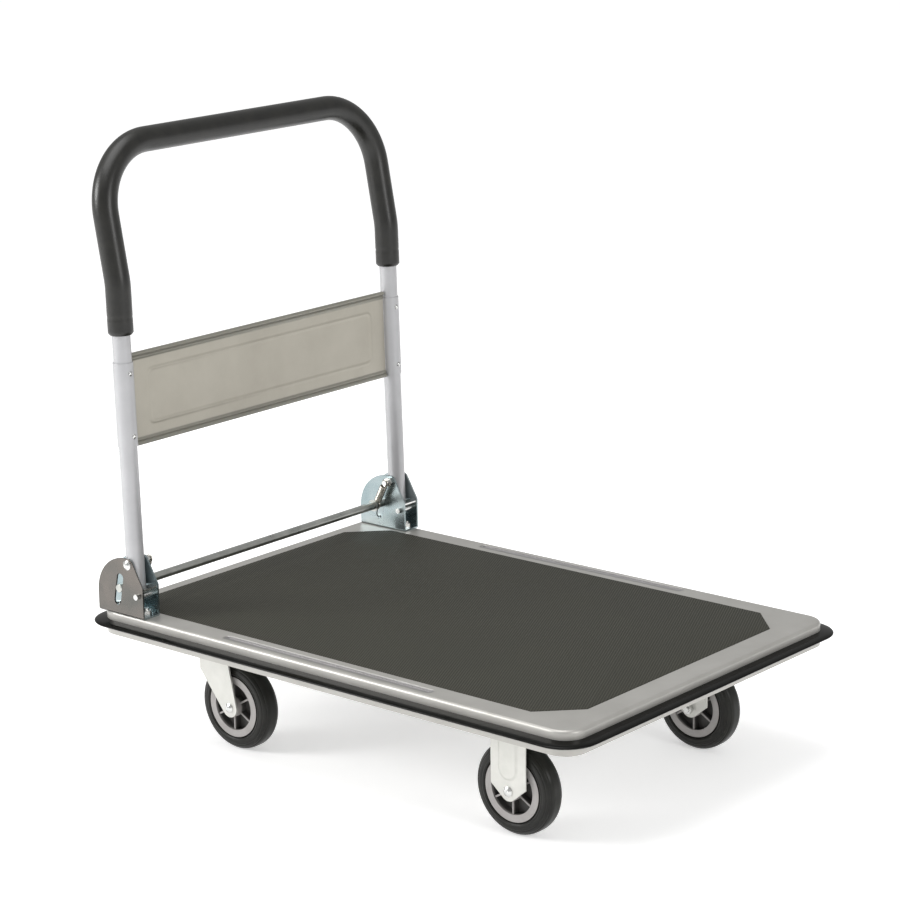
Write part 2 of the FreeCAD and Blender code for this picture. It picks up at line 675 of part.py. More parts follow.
def pivot_nuts():
    """The thin nuts of the two pivot bolts, on the inner cheeks."""
    nut = hexagon(size("nut_flats"), size("thin_nut_height"), size("bolt_diameter + 2 * bolt_gap"))
    inner = f"({LEG_Y} - {BRACKET_WIDTH} / 2)"
    left = moved(nut, PIVOT_X, inner, PIVOT_Z, TO_RIGHT)
    right = moved(nut, PIVOT_X, f"-{inner}", PIVOT_Z, TO_LEFT)
    group("pivot_nuts", [left, right])


def stud(head_diameter, head_height, length):
    """A low-headed bolt that stands on its head, with its shank up along Z from the head's face."""
    head = Part.makeCylinder(head_diameter / 2, head_height, Vector(0, 0, -head_height))
    return head.fuse(Part.makeCylinder(size("bolt_diameter / 2"), length)).removeSplitter()


def bracket_fasteners():
    """Two bolts up through the deck and the base of each bracket, with nuts on top."""
    grip = "deck_sheet + bracket_sheet"
    bolt = stud(size("flat_head"), size("flat_head_height"), size(f"{grip} + nut_height + bolt_end"))
    spots = [(f"{PIVOT_X} + {x}", f"{side} * {LEG_Y}") for side in (1, -1) for x in BASE_BOLTS]
    group("bracket_bolts", [moved(bolt, x, y, f"{DECK} - deck_sheet") for x, y in spots])
    group("bracket_nuts", [moved(standard_nut(), x, y, f"{DECK} + bracket_sheet") for x, y in spots])


# Foot bar


def foot_bar():
    """The bar that locks the legs, at rest in the four slots."""
    body = new_body("foot_bar", f"{PIVOT_X} - {BAR_BACK}", "0", f"{PIVOT_Z} - {BAR_DROP}")
    sketch = new_sketch(body, "XZ_Plane")
    circle(sketch, "bar_diameter")
    pad(body, sketch, f"leg_spacing + {BRACKET_WIDTH} + 2 * bar_overhang", 0)
    ends = size(f"(leg_spacing + {BRACKET_WIDTH}) / 2")
    at_end = lambda box: max(box.YMax, -box.YMin) > ends and box.YLength < TOLERANCE
    round_edges(body, "bar_end_round", at_end)


def bar_clips():
    """Clips on the bar beside the spring eyes, which keep it centred."""
    ring = Part.makeCylinder(size("clip_diameter / 2"), size("clip_thickness"))
    ring = ring.cut(Part.makeCylinder(size("bar_diameter / 2"), size("clip_thickness")))
    spot = (f"{PIVOT_X} - {BAR_BACK}", f"{PIVOT_Z} - {BAR_DROP}")
    y = f"({SPRING_Y} - spring_diameter / 2 - spring_side_gap)"
    left = moved(ring, spot[0], y, spot[1], TO_RIGHT)
    right = moved(ring, spot[0], f"-{y}", spot[1], TO_LEFT)
    group("bar_clips", [left, right])


def return_spring(name, side):
    """A close-wound spring with an eye round the pivot bolt and an eye round the foot bar. Its turns are
    rings on a thin core, and its local Z runs up along the coil from the bar to the pivot."""
    lean = f"atan({BAR_BACK} / {BAR_DROP})"
    body = new_body(name, PIVOT_X, f"{side} * {SPRING_Y}", PIVOT_Z, lean)
    upper_eye = "(bolt_diameter / 2 + spring_eye_gap + spring_wire / 2)"
    lower_eye = "(bar_diameter / 2 + spring_eye_gap + spring_wire / 2)"
    coil_top, coil_end = f"(-{upper_eye})", f"(-{BAR_DISTANCE} + {lower_eye})"
    mean = "((spring_diameter - spring_wire) / 2)"

    sketch = new_sketch(body, "XY_Plane", coil_end)
    circle(sketch, f"2 * {mean}")
    circle(sketch, f"2 * {mean} - spring_wire")
    pad(body, sketch, f"{coil_top} - {coil_end}")
    for height in (coil_top, f"{coil_end} + spring_wire"):
        sketch = new_sketch(body, "XY_Plane", height)
        circle(sketch, f"2 * {mean}")
        pad(body, sketch, "spring_wire", -1)
    for height, radius in (("0", upper_eye), (f"-{BAR_DISTANCE}", lower_eye)):
        sketch = new_sketch(body, "XY_Plane", height)
        circle(sketch, "spring_wire", radius)
        revolve(body, sketch, "V_Axis")

    sketch = new_sketch(body, "XZ_Plane")
    circle(sketch, "spring_wire", mean, f"{coil_end} + spring_wire / 2")
    turn = revolve(body, sketch, "V_Axis")
    document.recompute()
    pattern = body.newObject("PartDesign::LinearPattern", "LinearPattern")
    pattern.Originals = [turn]
    pattern.Direction = (sketch, ["V_Axis"])
    pattern.setExpression("Length", bound(f"{coil_top} - {coil_end} - spring_wire"))
    pattern.setExpression("Occurrences", bound(f"round(({coil_top} - {coil_end}) / spring_wire)"))
    body.Tip = pattern


# Handle


def bent_path(corners, radii):
    """A wire through the corners, with an arc of the given radius at each inner one."""
    edges = []
    start = corners[0]
    for before, corner, after, radius in zip(corners, corners[1:], corners[2:], radii):
        back, ahead = (before - corner).normalize(), (after - corner).normalize()
        half = back.getAngle(ahead) / 2
        reach = radius / math.tan(half)
        centre = corner + (back + ahead).normalize() * (radius / math.sin(half))
        entry, leave = corner + back * reach, corner + ahead * reach
        middle = centre + (corner - centre).normalize() * radius
        edges.append(Part.makeLine(start, entry))
        edges.append(Part.Arc(entry, middle, leave).toShape())
        start = leave
    edges.append(Part.makeLine(start, corners[-1]))
    return Part.Wire(edges)


def handle_corners(left_start, right_start):
    """The corners of the handle's centre line, from one start height above the pivot to the other."""
    half, knee, top = size(LEG_Y), size("knee_height"), size("handle_height")
    lower, upper = size("tan(lower_lean)"), size("tan(upper_lean)")
    knee_x = -lower * knee
    top_x = knee_x - upper * (top - knee)
    return [
        Vector(-lower * left_start, half, left_start),
        Vector(knee_x, half, knee),
        Vector(top_x, half, top),
        Vector(top_x, -half, top),
        Vector(knee_x, -half, knee),
        Vector(-lower * right_start, -half, right_start),
    ]


def swept_round(path, diameter):
    """A round bar along a path."""
    start = path.Edges[0].valueAt(path.Edges[0].FirstParameter)
    tangent = path.Edges[0].tangentAt(path.Edges[0].FirstParameter)
    section = Part.Wire([Part.Circle(start, tangent, diameter / 2).toShape()])
    return path.makePipeShell([section], True, False)


def handle_piece(name, left_start, right_start, outer, inner, cuts=()):
    """A tube along the handle's centre line."""
    bends = [size(radius) for radius in ("knee_bend", "corner_bend", "corner_bend", "knee_bend")]
    path = bent_path(handle_corners(left_start, right_start), bends)
    shape = swept_round(path, outer).cut(swept_round(path, inner))
    for cut in cuts:
        shape = shape.cut(cut)
    item = document.addObject("Part::Feature", name)
    item.Label = name
    item.Shape = shape
    place(item, PIVOT_X, "0", PIVOT_Z)


def rivet_spots():
    """Where the panel's rivets stand on the front of the legs, seen from the pivot."""
    spots = []
    for side in (1, -1):
        for height in ("panel_start + rivet_inset", "panel_start + panel_height - rivet_inset"):
            spots.append((f"({height})", f"({side} * {LEG_Y})"))
    return spots


def on_leg(shape, height, y):
    """A copy of a shape that stands on the leg's centre line at a height, with its Z towards the front."""
    lean = Rotation(Vector(0, 1, 0), -size("lower_lean"))
    copy = shape.copy()
    copy.Placement = Placement(lean.multVec(Vector(0, y, height)), lean * Rotation(Vector(0, 1, 0), 90))
    return copy


def handle_tube():
    """The bent tube, drilled for the pivot bolts and the panel's rivets."""
    radius, width = size("bolt_diameter / 2 + pin_gap"), size("leg_spacing + 2 * tube_diameter")
    pivot_hole = Part.makeCylinder(radius, width, Vector(0, -width / 2, 0), Vector(0, 1, 0))
    drill = Part.makeCylinder(size("rivet_shank / 2 + bolt_gap"), size("tube_diameter"))
    cuts = [pivot_hole] + [on_leg(drill, size(height), size(y)) for height, y in rivet_spots()]
    foot = -size(FOOT_DROP)
    outer, inner = size("tube_diameter"), size("tube_diameter - 2 * tube_wall")
    handle_piece("handle_tube", foot, foot, outer, inner, cuts)


def handle_grip():
    """The soft grip over the top bar and both knees."""
    left, right = size("grip_start_left"), size("grip_start_right")
    bore = size("tube_diameter + 2 * grip_bore_gap")
    handle_piece("handle_grip", left, right, size("grip_diameter"), bore)


def back_panel():
    """The sheet panel, with rolled edges, an embossed bead and two ends wrapped round the legs."""
    body = new_body("back_panel", PIVOT_X, "0", PIVOT_Z, "-lower_lean")
    bore = "(tube_diameter + 2 * panel_wrap_gap)"
    wrap = f"({bore} + 2 * panel_sheet)"
    low, high = "(panel_start - hem_fall)", "(panel_start + panel_height + hem_rise)"
    hem_length = f"(leg_spacing - {wrap} - 2 * hem_end_gap)"

    sketch = new_sketch(body, "XY_Plane", "panel_start")
    rectangle(sketch, "panel_sheet", f"leg_spacing - {bore} - panel_sheet")
    pad(body, sketch, "panel_height")
    sketch = new_sketch(body, "XY_Plane", low)
    rectangle(sketch, "panel_sheet", hem_length)
    pad(body, sketch, f"{high} - {low}")
    for height in (low, f"{high} - hem_height"):
        sketch = new_sketch(body, "XY_Plane", height)
        rectangle(sketch, "hem_thickness", hem_length)
        pad(body, sketch, "hem_height")
    face = size("hem_thickness / 2")
    half_hem = size(hem_length) / 2
    on_face = lambda box: box.XLength < TOLERANCE and abs(abs(box.XMin) - face) < TOLERANCE
    on_hem = lambda box: on_face(box) and box.YLength > half_hem
    round_edges(body, f"(hem_thickness - panel_sheet) * {HEM_ROUNDING}", on_hem)

    side, edge = "bead_side + tube_diameter / 2", "hem_height + bead_edge"
    tall, middle = f"({high} - {low} - 2 * ({edge}))", f"({high} + {low}) / 2"
    sketch = new_sketch(body, "YZ_Plane", "panel_sheet / 2")
    rectangle(sketch, f"leg_spacing - 2 * ({side})", tall, "0", middle)
    rectangle(sketch, f"leg_spacing - 2 * ({side} + bead_width)", f"{tall} - 2 * bead_width", "0", middle)
    pad(body, sketch, "bead_height")

    for diameter, action in ((wrap, pad), (bore, pocket)):
        sketch = new_sketch(body, "XY_Plane", "panel_start")
        for hand in (1, -1):
            circle(sketch, diameter, "0", f"{hand} * {LEG_Y}")
        action(body, sketch, "panel_height", 1)
    sketch = new_sketch(body, "YZ_Plane")
    for height, y in rivet_spots():
        circle(sketch, "rivet_shank + 2 * bolt_gap", y, height)
    pocket(body, sketch, "tube_diameter", 1)


def panel_rivets():
    """Four round-headed rivets that hold the wraps to the legs."""
    seat = size("tube_diameter / 2 + panel_wrap_gap + panel_sheet")
    head_radius, head_height, shank = size("rivet_head / 2"), size("rivet_head / 4"), size("rivet_shank / 2")
    ball = (head_radius ** 2 + head_height ** 2) / (2 * head_height)
    head = Part.makeSphere(ball, Vector(0, 0, seat + head_height - ball))
    head = head.common(Part.makeCylinder(head_radius, head_height, Vector(0, 0, seat)))
    inner_end = size("tube_diameter / 2 - tube_wall - rivet_tail")
    rivet = head.fuse(Part.makeCylinder(shank, seat - inner_end, Vector(0, 0, inner_end))).removeSplitter()
    spots = [(size(height), size(y)) for height, y in rivet_spots()]
    item = group("panel_rivets", [on_leg(rivet, height, y) for height, y in spots])
    place(item, PIVOT_X, "0", PIVOT_Z)


# Casters


def tyre(name, x, y):
    """A solid rubber tyre with round shoulders."""
    body = new_body(name, x, y, AXLE_Z)
    half, rim, seat = "(wheel_width / 2)", AXLE_Z, f"({HUB_RADIUS} + tyre_seat_gap)"
    sketch = new_sketch(body, "YZ_Plane")
    outline(sketch, [
        (half, seat),
        (half, f"{rim} - tyre_round"),
        (f"{half} - tyre_round", rim, f"{half} - tyre_round", f"{rim} - tyre_round", 1),
        (f"-{half} + tyre_round", rim),
        (f"-{half}", f"{rim} - tyre_round", f"-{half} + tyre_round", f"{rim} - tyre_round", 1),
        (f"-{half}", seat),
    ])
    revolve(body, sketch, "H_Axis")


def hub(name, x, y):
    """A moulded hub: rim, web, boss and six ribs, bored to run on the axle sleeve."""
    body = new_body(name, x, y, AXLE_Z)
    rim, boss, web = "(hub_width / 2)", "(fork_gap / 2 - hub_side_gap)", "(hub_web / 2)"
    bore, boss_radius = "(sleeve_diameter / 2 + pin_gap)", "(hub_boss / 2)"
    under_rim = f"({HUB_RADIUS} - hub_rim)"
    right = [
        (boss, bore),
        (boss, boss_radius),
        (web, boss_radius),
        (web, under_rim),
        (rim, under_rim),
        (rim, HUB_RADIUS),
    ]
    left = [(f"-{across}", up) for across, up in reversed(right)]
    sketch = new_sketch(body, "YZ_Plane")
    outline(sketch, right + left)
    revolve(body, sketch, "H_Axis")

    sketch = new_sketch(body, "XZ_Plane")
    reach = f"({under_rim} - {boss_radius} + 2 * hub_rib_root)"
    rectangle(sketch, "hub_rib", reach, "0", f"({under_rim} + {boss_radius}) / 2")
    rib = pad(body, sketch, "hub_rib_width", 0)
    document.recompute()
    pattern = body.newObject("PartDesign::PolarPattern", "PolarPattern")
    pattern.Originals = [rib]
    pattern.Axis = (sketch, ["N_Axis"])
    pattern.Angle = 360
    pattern.Occurrences = HUB_RIB_COUNT
    body.Tip = pattern


def axle_sleeve(name, x, y):
    """The steel sleeve clamped between the fork legs, on which the hub turns."""
    body = new_body(name, x, y, AXLE_Z)
    sketch = new_sketch(body, "XZ_Plane")
    circle(sketch, "sleeve_diameter")
    circle(sketch, "bolt_diameter + 2 * bolt_gap")
    pad(body, sketch, "fork_gap", 0)


def axle_bolt(name, x, y, side):
    """The axle bolt, with its round head on the outer fork leg."""
    body = new_body(name, x, y, AXLE_Z)
    end = f"-{side} * ({FORK_OUTER} / 2 + nut_height + bolt_end)"
    domed_bolt(body, side, f"{side} * {FORK_OUTER} / 2", end)


def axle_nut(name, x, y, side):
    """The nut on the inner fork leg."""
    start = f"{y} - {side} * {FORK_OUTER} / 2"
    group(name, [moved(standard_nut(), x, start, AXLE_Z, TO_RIGHT if side > 0 else TO_LEFT)])


def wheel(corner, x, y, side):
    """The pieces of one wheel and its axle. side is 1 on the left and -1 on the right."""
    tyre(f"{corner}_tyre", x, y)
    hub(f"{corner}_hub", x, y)
    axle_sleeve(f"{corner}_axle_sleeve", x, y)
    axle_bolt(f"{corner}_axle_bolt", x, y, side)
    axle_nut(f"{corner}_axle_nut", x, y, side)


def tangent(x, z, side):
    """Where a line down from (x, z), seen from the axle, touches the round tip of a fork. side is 1 for a
    line that passes in front of the axle and -1 for one that passes behind it."""
    away = f"sqrt(({x}) ^ 2 + ({z}) ^ 2)"
    turn = f"(atan2({z}; {x}) - {side} * acos(fork_tip / {away}))"
    return f"fork_tip * cos({turn})", f"fork_tip * sin({turn})"


def fork_gap_cut(body, length, low, high, x="0"):
    """Clears the space of the wheel between the two legs of a fork."""
    sketch = new_sketch(body, "XZ_Plane")
    rectangle(sketch, length, f"{high} - ({low})", x, f"({low} + {high}) / 2")
    pocket(body, sketch, "fork_gap", 0)


def axle_holes(body, x="0"):
    """The axle bolt's hole through both legs."""
    sketch = new_sketch(body, "XZ_Plane")
    circle(sketch, "bolt_diameter + 2 * bolt_gap", x, AXLE_Z)
    pocket(body, sketch, f"2 * {FORK_OUTER}", 0)


def fixed_fork(name, x, y):
    """A pressed fork in one piece with its mounting plate. Its body stands on the floor under the axle."""
    body = new_body(name, x, y, "0")
    half, shoulder = "(fork_width / 2)", f"({AXLE_Z} + fork_shoulder)"
    tip_x, below = tangent(half, "fork_shoulder", 1)
    tip_z = f"{AXLE_Z} + {below}"
    sketch = new_sketch(body, "XZ_Plane")
    outline(sketch, [
        (tip_x, tip_z, "0", AXLE_Z, 1),
        (half, shoulder),
        (half, PLATE_UNDER),
        (f"-{half}", PLATE_UNDER),
        (f"-{half}", shoulder),
        (f"-({tip_x})", tip_z),
    ])
    pad(body, sketch, FORK_OUTER, 0)
    sketch = new_sketch(body, "XZ_Plane")
    rib_low, rib_high = f"({shoulder} + fork_rib_width)", f"({PLATE_UNDER} - fork_rib_width)"
    for hand in (1, -1):
        across = f"{hand} * fork_rib_spacing / 2"
        middle = f"({rib_low} + {rib_high}) / 2"
        rectangle(sketch, "fork_rib_width", f"{rib_high} - {rib_low}", across, middle)
    pad(body, sketch, f"{FORK_OUTER} + 2 * fork_rib", 0)
    sketch = new_sketch(body, "XY_Plane", PLATE_UNDER)
    rounded_rectangle(sketch, "plate_length", "plate_width", "plate_sheet")
    pad(body, sketch, "plate_sheet")
    fork_gap_cut(body, "2 * fork_width", "0", PLATE_UNDER)
    axle_holes(body)
    sketch = new_sketch(body, "XY_Plane", "caster_height")
    plate_holes(sketch)
    pocket(body, sketch, "plate_sheet")


def swivel_plate(name, x, y):
    """The mounting plate of a swivel caster, with the hole of its king pin."""
    body = new_body(name, x, y, PLATE_UNDER)
    sketch = new_sketch(body, "XY_Plane")
    rounded_rectangle(sketch, "plate_length", "plate_width", "plate_sheet")
    plate_holes(sketch)
    pad(body, sketch, "plate_sheet")


def king_pin(name, x, y):
    """The swivel pin, riveted to the underside of the mounting plate."""
    body = new_body(name, x, y, PLATE_UNDER)
    sketch = new_sketch(body, "XY_Plane")
    circle(sketch, "king_pin")
    pad(body, sketch, "race_gap + crown_sheet + king_nut_gap + king_nut_height + bolt_end", -1)


def king_nut(name, x, y):
    """The nut under the fork crown that carries it on the king pin."""
    nut = hexagon(size("king_nut_flats"), size("king_nut_height"), size("king_pin + 2 * bolt_gap"))
    group(name, [moved(nut, x, y, f"{CROWN_TOP} - crown_sheet - king_nut_gap - king_nut_height")])


def ball_ring(name, x, y):
    """The loose balls of the swivel bearing, between the plate and the crown."""
    ball = Part.makeSphere(size("ball_diameter / 2"))
    middle = f"{CROWN_TOP} + race_gap / 2"
    balls = []
    for step in range(BALL_COUNT):
        turn = 360 * step / BALL_COUNT
        ball_x, ball_y = f"{x} + race_radius * cos({turn})", f"{y} + race_radius * sin({turn})"
        balls.append(moved(ball, ball_x, ball_y, middle))
    group(name, balls)


def swivel_fork(name, x, y):
    """A swivel fork: a crown with an upturned edge, and two legs that slant to the trailing axle."""
    body = new_body(name, x, y, "0")
    crown_under = f"({CROWN_TOP} - crown_sheet)"
    half, waist = "(swivel_fork_width / 2)", f"({CROWN_TOP} - fork_waist)"
    front_x, front_z = tangent(f"{half} - swivel_trail", f"{CROWN_TOP} - {AXLE_Z}", 1)
    rear_x, rear_z = tangent(f"-{half} - swivel_trail", f"{waist} - {AXLE_Z}", -1)
    sketch = new_sketch(body, "XZ_Plane")
    outline(sketch, [
        (f"swivel_trail + {front_x}", f"{AXLE_Z} + {front_z}", "swivel_trail", AXLE_Z, 1),
        (half, CROWN_TOP),
        (f"-{half}", CROWN_TOP),
        (f"-{half}", waist),
        (f"swivel_trail + {rear_x}", f"{AXLE_Z} + {rear_z}"),
    ])
    pad(body, sketch, FORK_OUTER, 0)
    fork_gap_cut(body, "4 * swivel_fork_width", "0", crown_under)
    sketch = new_sketch(body, "XY_Plane", crown_under)
    circle(sketch, "crown_diameter")
    pad(body, sketch, "crown_sheet + crown_lip_height")
    sketch = new_sketch(body, "XY_Plane", CROWN_TOP)
    circle(sketch, "crown_diameter - 2 * crown_lip")
    pocket(body, sketch, "crown_lip_height", 1)
    sketch = new_sketch(body, "XY_Plane", CROWN_TOP)
    circle(sketch, "king_pin + 2 * pin_gap")
    pocket(body, sketch, "2 * crown_sheet")
    axle_holes(body, "swivel_trail")


def caster_fasteners(plates):
    """The bolts and nuts that hold the four mounting plates to the cross channels."""
    length = size("plate_sheet + channel_sheet + nut_height + bolt_end")
    bolt = stud(size("dome_diameter"), size("flat_head_height"), length)
    spots = []
    for x, y in plates:
        for along in (1, -1):
            for across in (1, -1):
                bolt_x = f"{x} + {along} * plate_bolts_long / 2"
                bolt_y = f"{y} + {across} * plate_bolts_wide / 2"
                spots.append((bolt_x, bolt_y))
    group("caster_bolts", [moved(bolt, x, y, PLATE_UNDER) for x, y in spots])
    group("caster_nuts", [moved(standard_nut(), x, y, "caster_height + channel_sheet") for x, y in spots])


deck_pan()
deck_mat()
bumper_strip()
channel_holes(cross_channel("front_channel", "fixed_x"), "fixed_spacing")
channel_holes(cross_channel("rear_channel", "-swivel_x"), "swivel_spacing")
for hand, side in (("left", 1), ("right", -1)):
    stiffening_rib(f"rib_{hand}", side)
    bracket(f"bracket_{hand}", side)
    stop_plate(f"stop_plate_{hand}", side)
    pivot_bolt(f"pivot_bolt_{hand}", side)
    return_spring(f"spring_{hand}", side)

    fixed_y = f"({side} * fixed_spacing / 2)"
    fixed_fork(f"front_{hand}_fork", "fixed_x", fixed_y)
    wheel(f"front_{hand}", "fixed_x", fixed_y, side)

    swivel_y = f"({side} * swivel_spacing / 2)"
    swivel_plate(f"rear_{hand}_plate", "-swivel_x", swivel_y)
    king_pin(f"rear_{hand}_king_pin", "-swivel_x", swivel_y)
    king_nut(f"rear_{hand}_king_nut", "-swivel_x", swivel_y)
    ball_ring(f"rear_{hand}_balls", "-swivel_x", swivel_y)
    swivel_fork(f"rear_{hand}_fork", "-swivel_x", swivel_y)
    wheel(f"rear_{hand}", "(-swivel_x + swivel_trail)", swivel_y, side)

pivot_nuts()
bracket_fasteners()
foot_bar()
bar_clips()
handle_tube()
handle_grip()
back_panel()
panel_rivets()
caster_fasteners([
    (x, f"{side} * {spacing} / 2")
    for x, spacing in (("fixed_x", "fixed_spacing"), ("-swivel_x", "swivel_spacing"))
    for side in (1, -1)
])

document.recompute()
failed = [item.Name for item in document.Objects if {"Invalid", "Error"} & set(item.State)]
if failed:
    raise RuntimeError(f"these objects failed: {failed}")
nodes = [item for item in document.Objects if item.TypeId in ("PartDesign::Body", "Part::Feature")]
for node in nodes:
    if node.Shape.isNull() or not node.Shape.isValid():
        raise RuntimeError(f"{node.Label} has no valid shape")

os.makedirs("parts", exist_ok=True)
for node in nodes:
    node.Shape.exportStep(f"parts/{node.Label}.step")
print(len(nodes), "nodes written")
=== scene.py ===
import bpy
import numpy as np
from mathutils import Matrix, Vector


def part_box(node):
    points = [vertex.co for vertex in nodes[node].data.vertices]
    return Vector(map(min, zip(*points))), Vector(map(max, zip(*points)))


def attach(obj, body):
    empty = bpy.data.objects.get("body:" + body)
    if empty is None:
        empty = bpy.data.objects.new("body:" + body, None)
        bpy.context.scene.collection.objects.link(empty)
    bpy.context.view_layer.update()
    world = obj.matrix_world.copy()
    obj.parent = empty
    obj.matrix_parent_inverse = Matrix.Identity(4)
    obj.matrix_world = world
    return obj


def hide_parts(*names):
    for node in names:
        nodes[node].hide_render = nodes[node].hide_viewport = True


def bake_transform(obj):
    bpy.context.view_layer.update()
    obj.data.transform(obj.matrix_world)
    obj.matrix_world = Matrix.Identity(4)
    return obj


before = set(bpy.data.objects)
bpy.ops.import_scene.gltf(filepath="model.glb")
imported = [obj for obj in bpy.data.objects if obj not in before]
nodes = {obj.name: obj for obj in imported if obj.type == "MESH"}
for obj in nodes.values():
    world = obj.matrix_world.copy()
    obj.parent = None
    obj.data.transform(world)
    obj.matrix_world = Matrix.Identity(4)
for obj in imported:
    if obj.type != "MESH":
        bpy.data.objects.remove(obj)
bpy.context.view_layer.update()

# Camera and studio
# A long lens looks at the cart from the front right, a little above the deck. The cart stands on a pale
# floor in an even white room, under a broad overhead light, with a softbox at its left and one at its right.
LENS, SENSOR = 115.39, 36  # mm
STAND = (2.4412, -2.8735, 1.4045)
turn, rise, tilt = np.radians([40.474, 14.588, -0.981])
level_right = np.array([np.cos(turn), np.sin(turn), 0])
back = np.array([np.sin(turn) * np.cos(rise), -np.cos(turn) * np.cos(rise), np.sin(rise)])
level_up = np.cross(back, level_right)
right = np.cos(tilt) * level_right + np.sin(tilt) * level_up
up = np.cos(tilt) * level_up - np.sin(tilt) * level_right
camera = bpy.data.objects.new("camera", bpy.data.cameras.new("camera"))
camera.data.lens = LENS
camera.data.sensor_width = SENSOR
stand = np.eye(4)
stand[:3, :3] = np.column_stack([right, up, back])
stand[:3, 3] = STAND
camera.matrix_world = Matrix(stand.tolist())
bpy.context.scene.collection.objects.link(camera)
bpy.context.scene.camera = camera

bpy.context.scene.view_settings.view_transform = "Standard"

world = bpy.data.worlds.new("studio")
world.use_nodes = True
world.node_tree.nodes["Background"].inputs["Color"].default_value = (1, 1, 1, 1)
world.node_tree.nodes["Background"].inputs["Strength"].default_value = 0.5
bpy.context.scene.world = world
CART_MIDDLE = (0, 0, 0.3)


def aimed(name, lamp, place):
    """Stands a lamp at a place and aims it at the middle of the cart."""
    item = bpy.data.objects.new(name, lamp)
    away = np.array(place) - CART_MIDDLE
    away = away / np.linalg.norm(away)
    side = np.cross((0, 1, 0), away)
    side = side / np.linalg.norm(side)
    aim = np.eye(4)
    aim[:3, :3] = np.column_stack([side, np.cross(away, side), away])
    aim[:3, 3] = place
    item.matrix_world = Matrix(aim.tolist())
    bpy.context.scene.collection.objects.link(item)


def softbox(name, place, width, power):
    """A square area light."""
    lamp = bpy.data.lights.new(name, "AREA")
    lamp.size = width
    lamp.energy = power
    aimed(name, lamp, place)


softbox("overhead", (-0.2, -0.6, 3.0), 2.2, 38)
softbox("left_side", (-2.2, -2.4, 1.7), 1.2, 62)
softbox("right_side", (3.0, -0.2, 1.5), 1.0, 24)
# A very wide sun fills the room from above.
skylight = bpy.data.lights.new("skylight", "SUN")
skylight.energy = 0.5
skylight.angle = np.radians(60)
aimed("skylight", skylight, (-0.8, -0.9, 3.0))


# Deck pan
# The load deck is one pressing of sheet steel with a rounded edge and a turned-in lip. It is sprayed with
# silver paint, which has a fine orange peel and a faint cloudiness.
def add(tree, kind, settings=None, **inputs):
    """A shader node with its settings. Each input takes a value or the socket that feeds it."""
    node = tree.nodes.new("ShaderNode" + kind)
    for key, value in (settings or {}).items():
        setattr(node, key, value)
    for key, value in inputs.items():
        socket = node.inputs[key.replace("_", " ")]
        if isinstance(value, bpy.types.NodeSocket):
            tree.links.new(value, socket)
        else:
            socket.default_value = value
    return node


def maths(tree, operation, first, second=0.0):
    """One operation on one or two numbers or sockets."""
    node = tree.nodes.new("ShaderNodeMath")
    node.operation = operation
    for socket, value in zip(node.inputs, (first, second)):
        if isinstance(value, bpy.types.NodeSocket):
            tree.links.new(value, socket)
        else:
            socket.default_value = value
    return node.outputs[0]


def spread(tree, factor, low, high):
    """A factor from 0 to 1, spread between two values."""
    return add(tree, "MapRange", Value=factor, To_Min=low, To_Max=high).outputs["Result"]


def shade(tree, factor, dark, light):
    """A factor that runs from a dark colour to a light one."""
    ramp = add(tree, "ValToRGB", Fac=factor)
    for stop, position, colour in zip(ramp.color_ramp.elements, (0.3, 0.7), (dark, light)):
        stop.position = position
        stop.color = (*colour, 1)
    return ramp.outputs["Color"]


def finish(name, dark, light, rough, patch, grain, relief, metallic=0.0, coat=0.0, round_edge=0.0,
           shine=0.5):
    """A finish whose colour drifts from dark to light, and whose roughness drifts over its range, in patches.
    Its fine grain has a depth, relief, and round_edge rounds the look of sharp edges. patch, grain, relief
    and round_edge are in metres. shine is the strength of the clear reflection."""
    made = bpy.data.materials.new(name)
    made.use_nodes = True
    tree = made.node_tree
    shader = tree.nodes["Principled BSDF"]
    shader.inputs["Metallic"].default_value = metallic
    shader.inputs["Coat Weight"].default_value = coat
    shader.inputs["Specular IOR Level"].default_value = shine
    where = add(tree, "TexCoord").outputs["Object"]
    cloud = add(tree, "TexNoise", Vector=where, Scale=1 / patch, Detail=4.0, Roughness=0.6).outputs["Fac"]
    fine = add(tree, "TexNoise", Vector=where, Scale=1 / grain, Detail=3.0).outputs["Fac"]
    tree.links.new(shade(tree, cloud, dark, light), shader.inputs["Base Color"])
    tree.links.new(spread(tree, cloud, *rough), shader.inputs["Roughness"])
    bump = add(tree, "Bump", Height=fine, Distance=relief, Strength=1.0)
    if round_edge:
        edge = add(tree, "Bevel", {"samples": 6}, Radius=round_edge)
        tree.links.new(edge.outputs["Normal"], bump.inputs["Normal"])
    tree.links.new(bump.outputs["Normal"], shader.inputs["Normal"])
    return made


def paint(material, *names):
    """Gives CAD nodes a material."""
    for name in names:
        node = nodes[name]
        node.data.materials.clear()
        node.data.materials.append(material)


silver_paint = finish(
    "silver_paint", (0.39, 0.38, 0.355), (0.44, 0.43, 0.405), (0.34, 0.44), 0.06, 0.0012, 0.00003,
    metallic=0.5, coat=0.1,
)
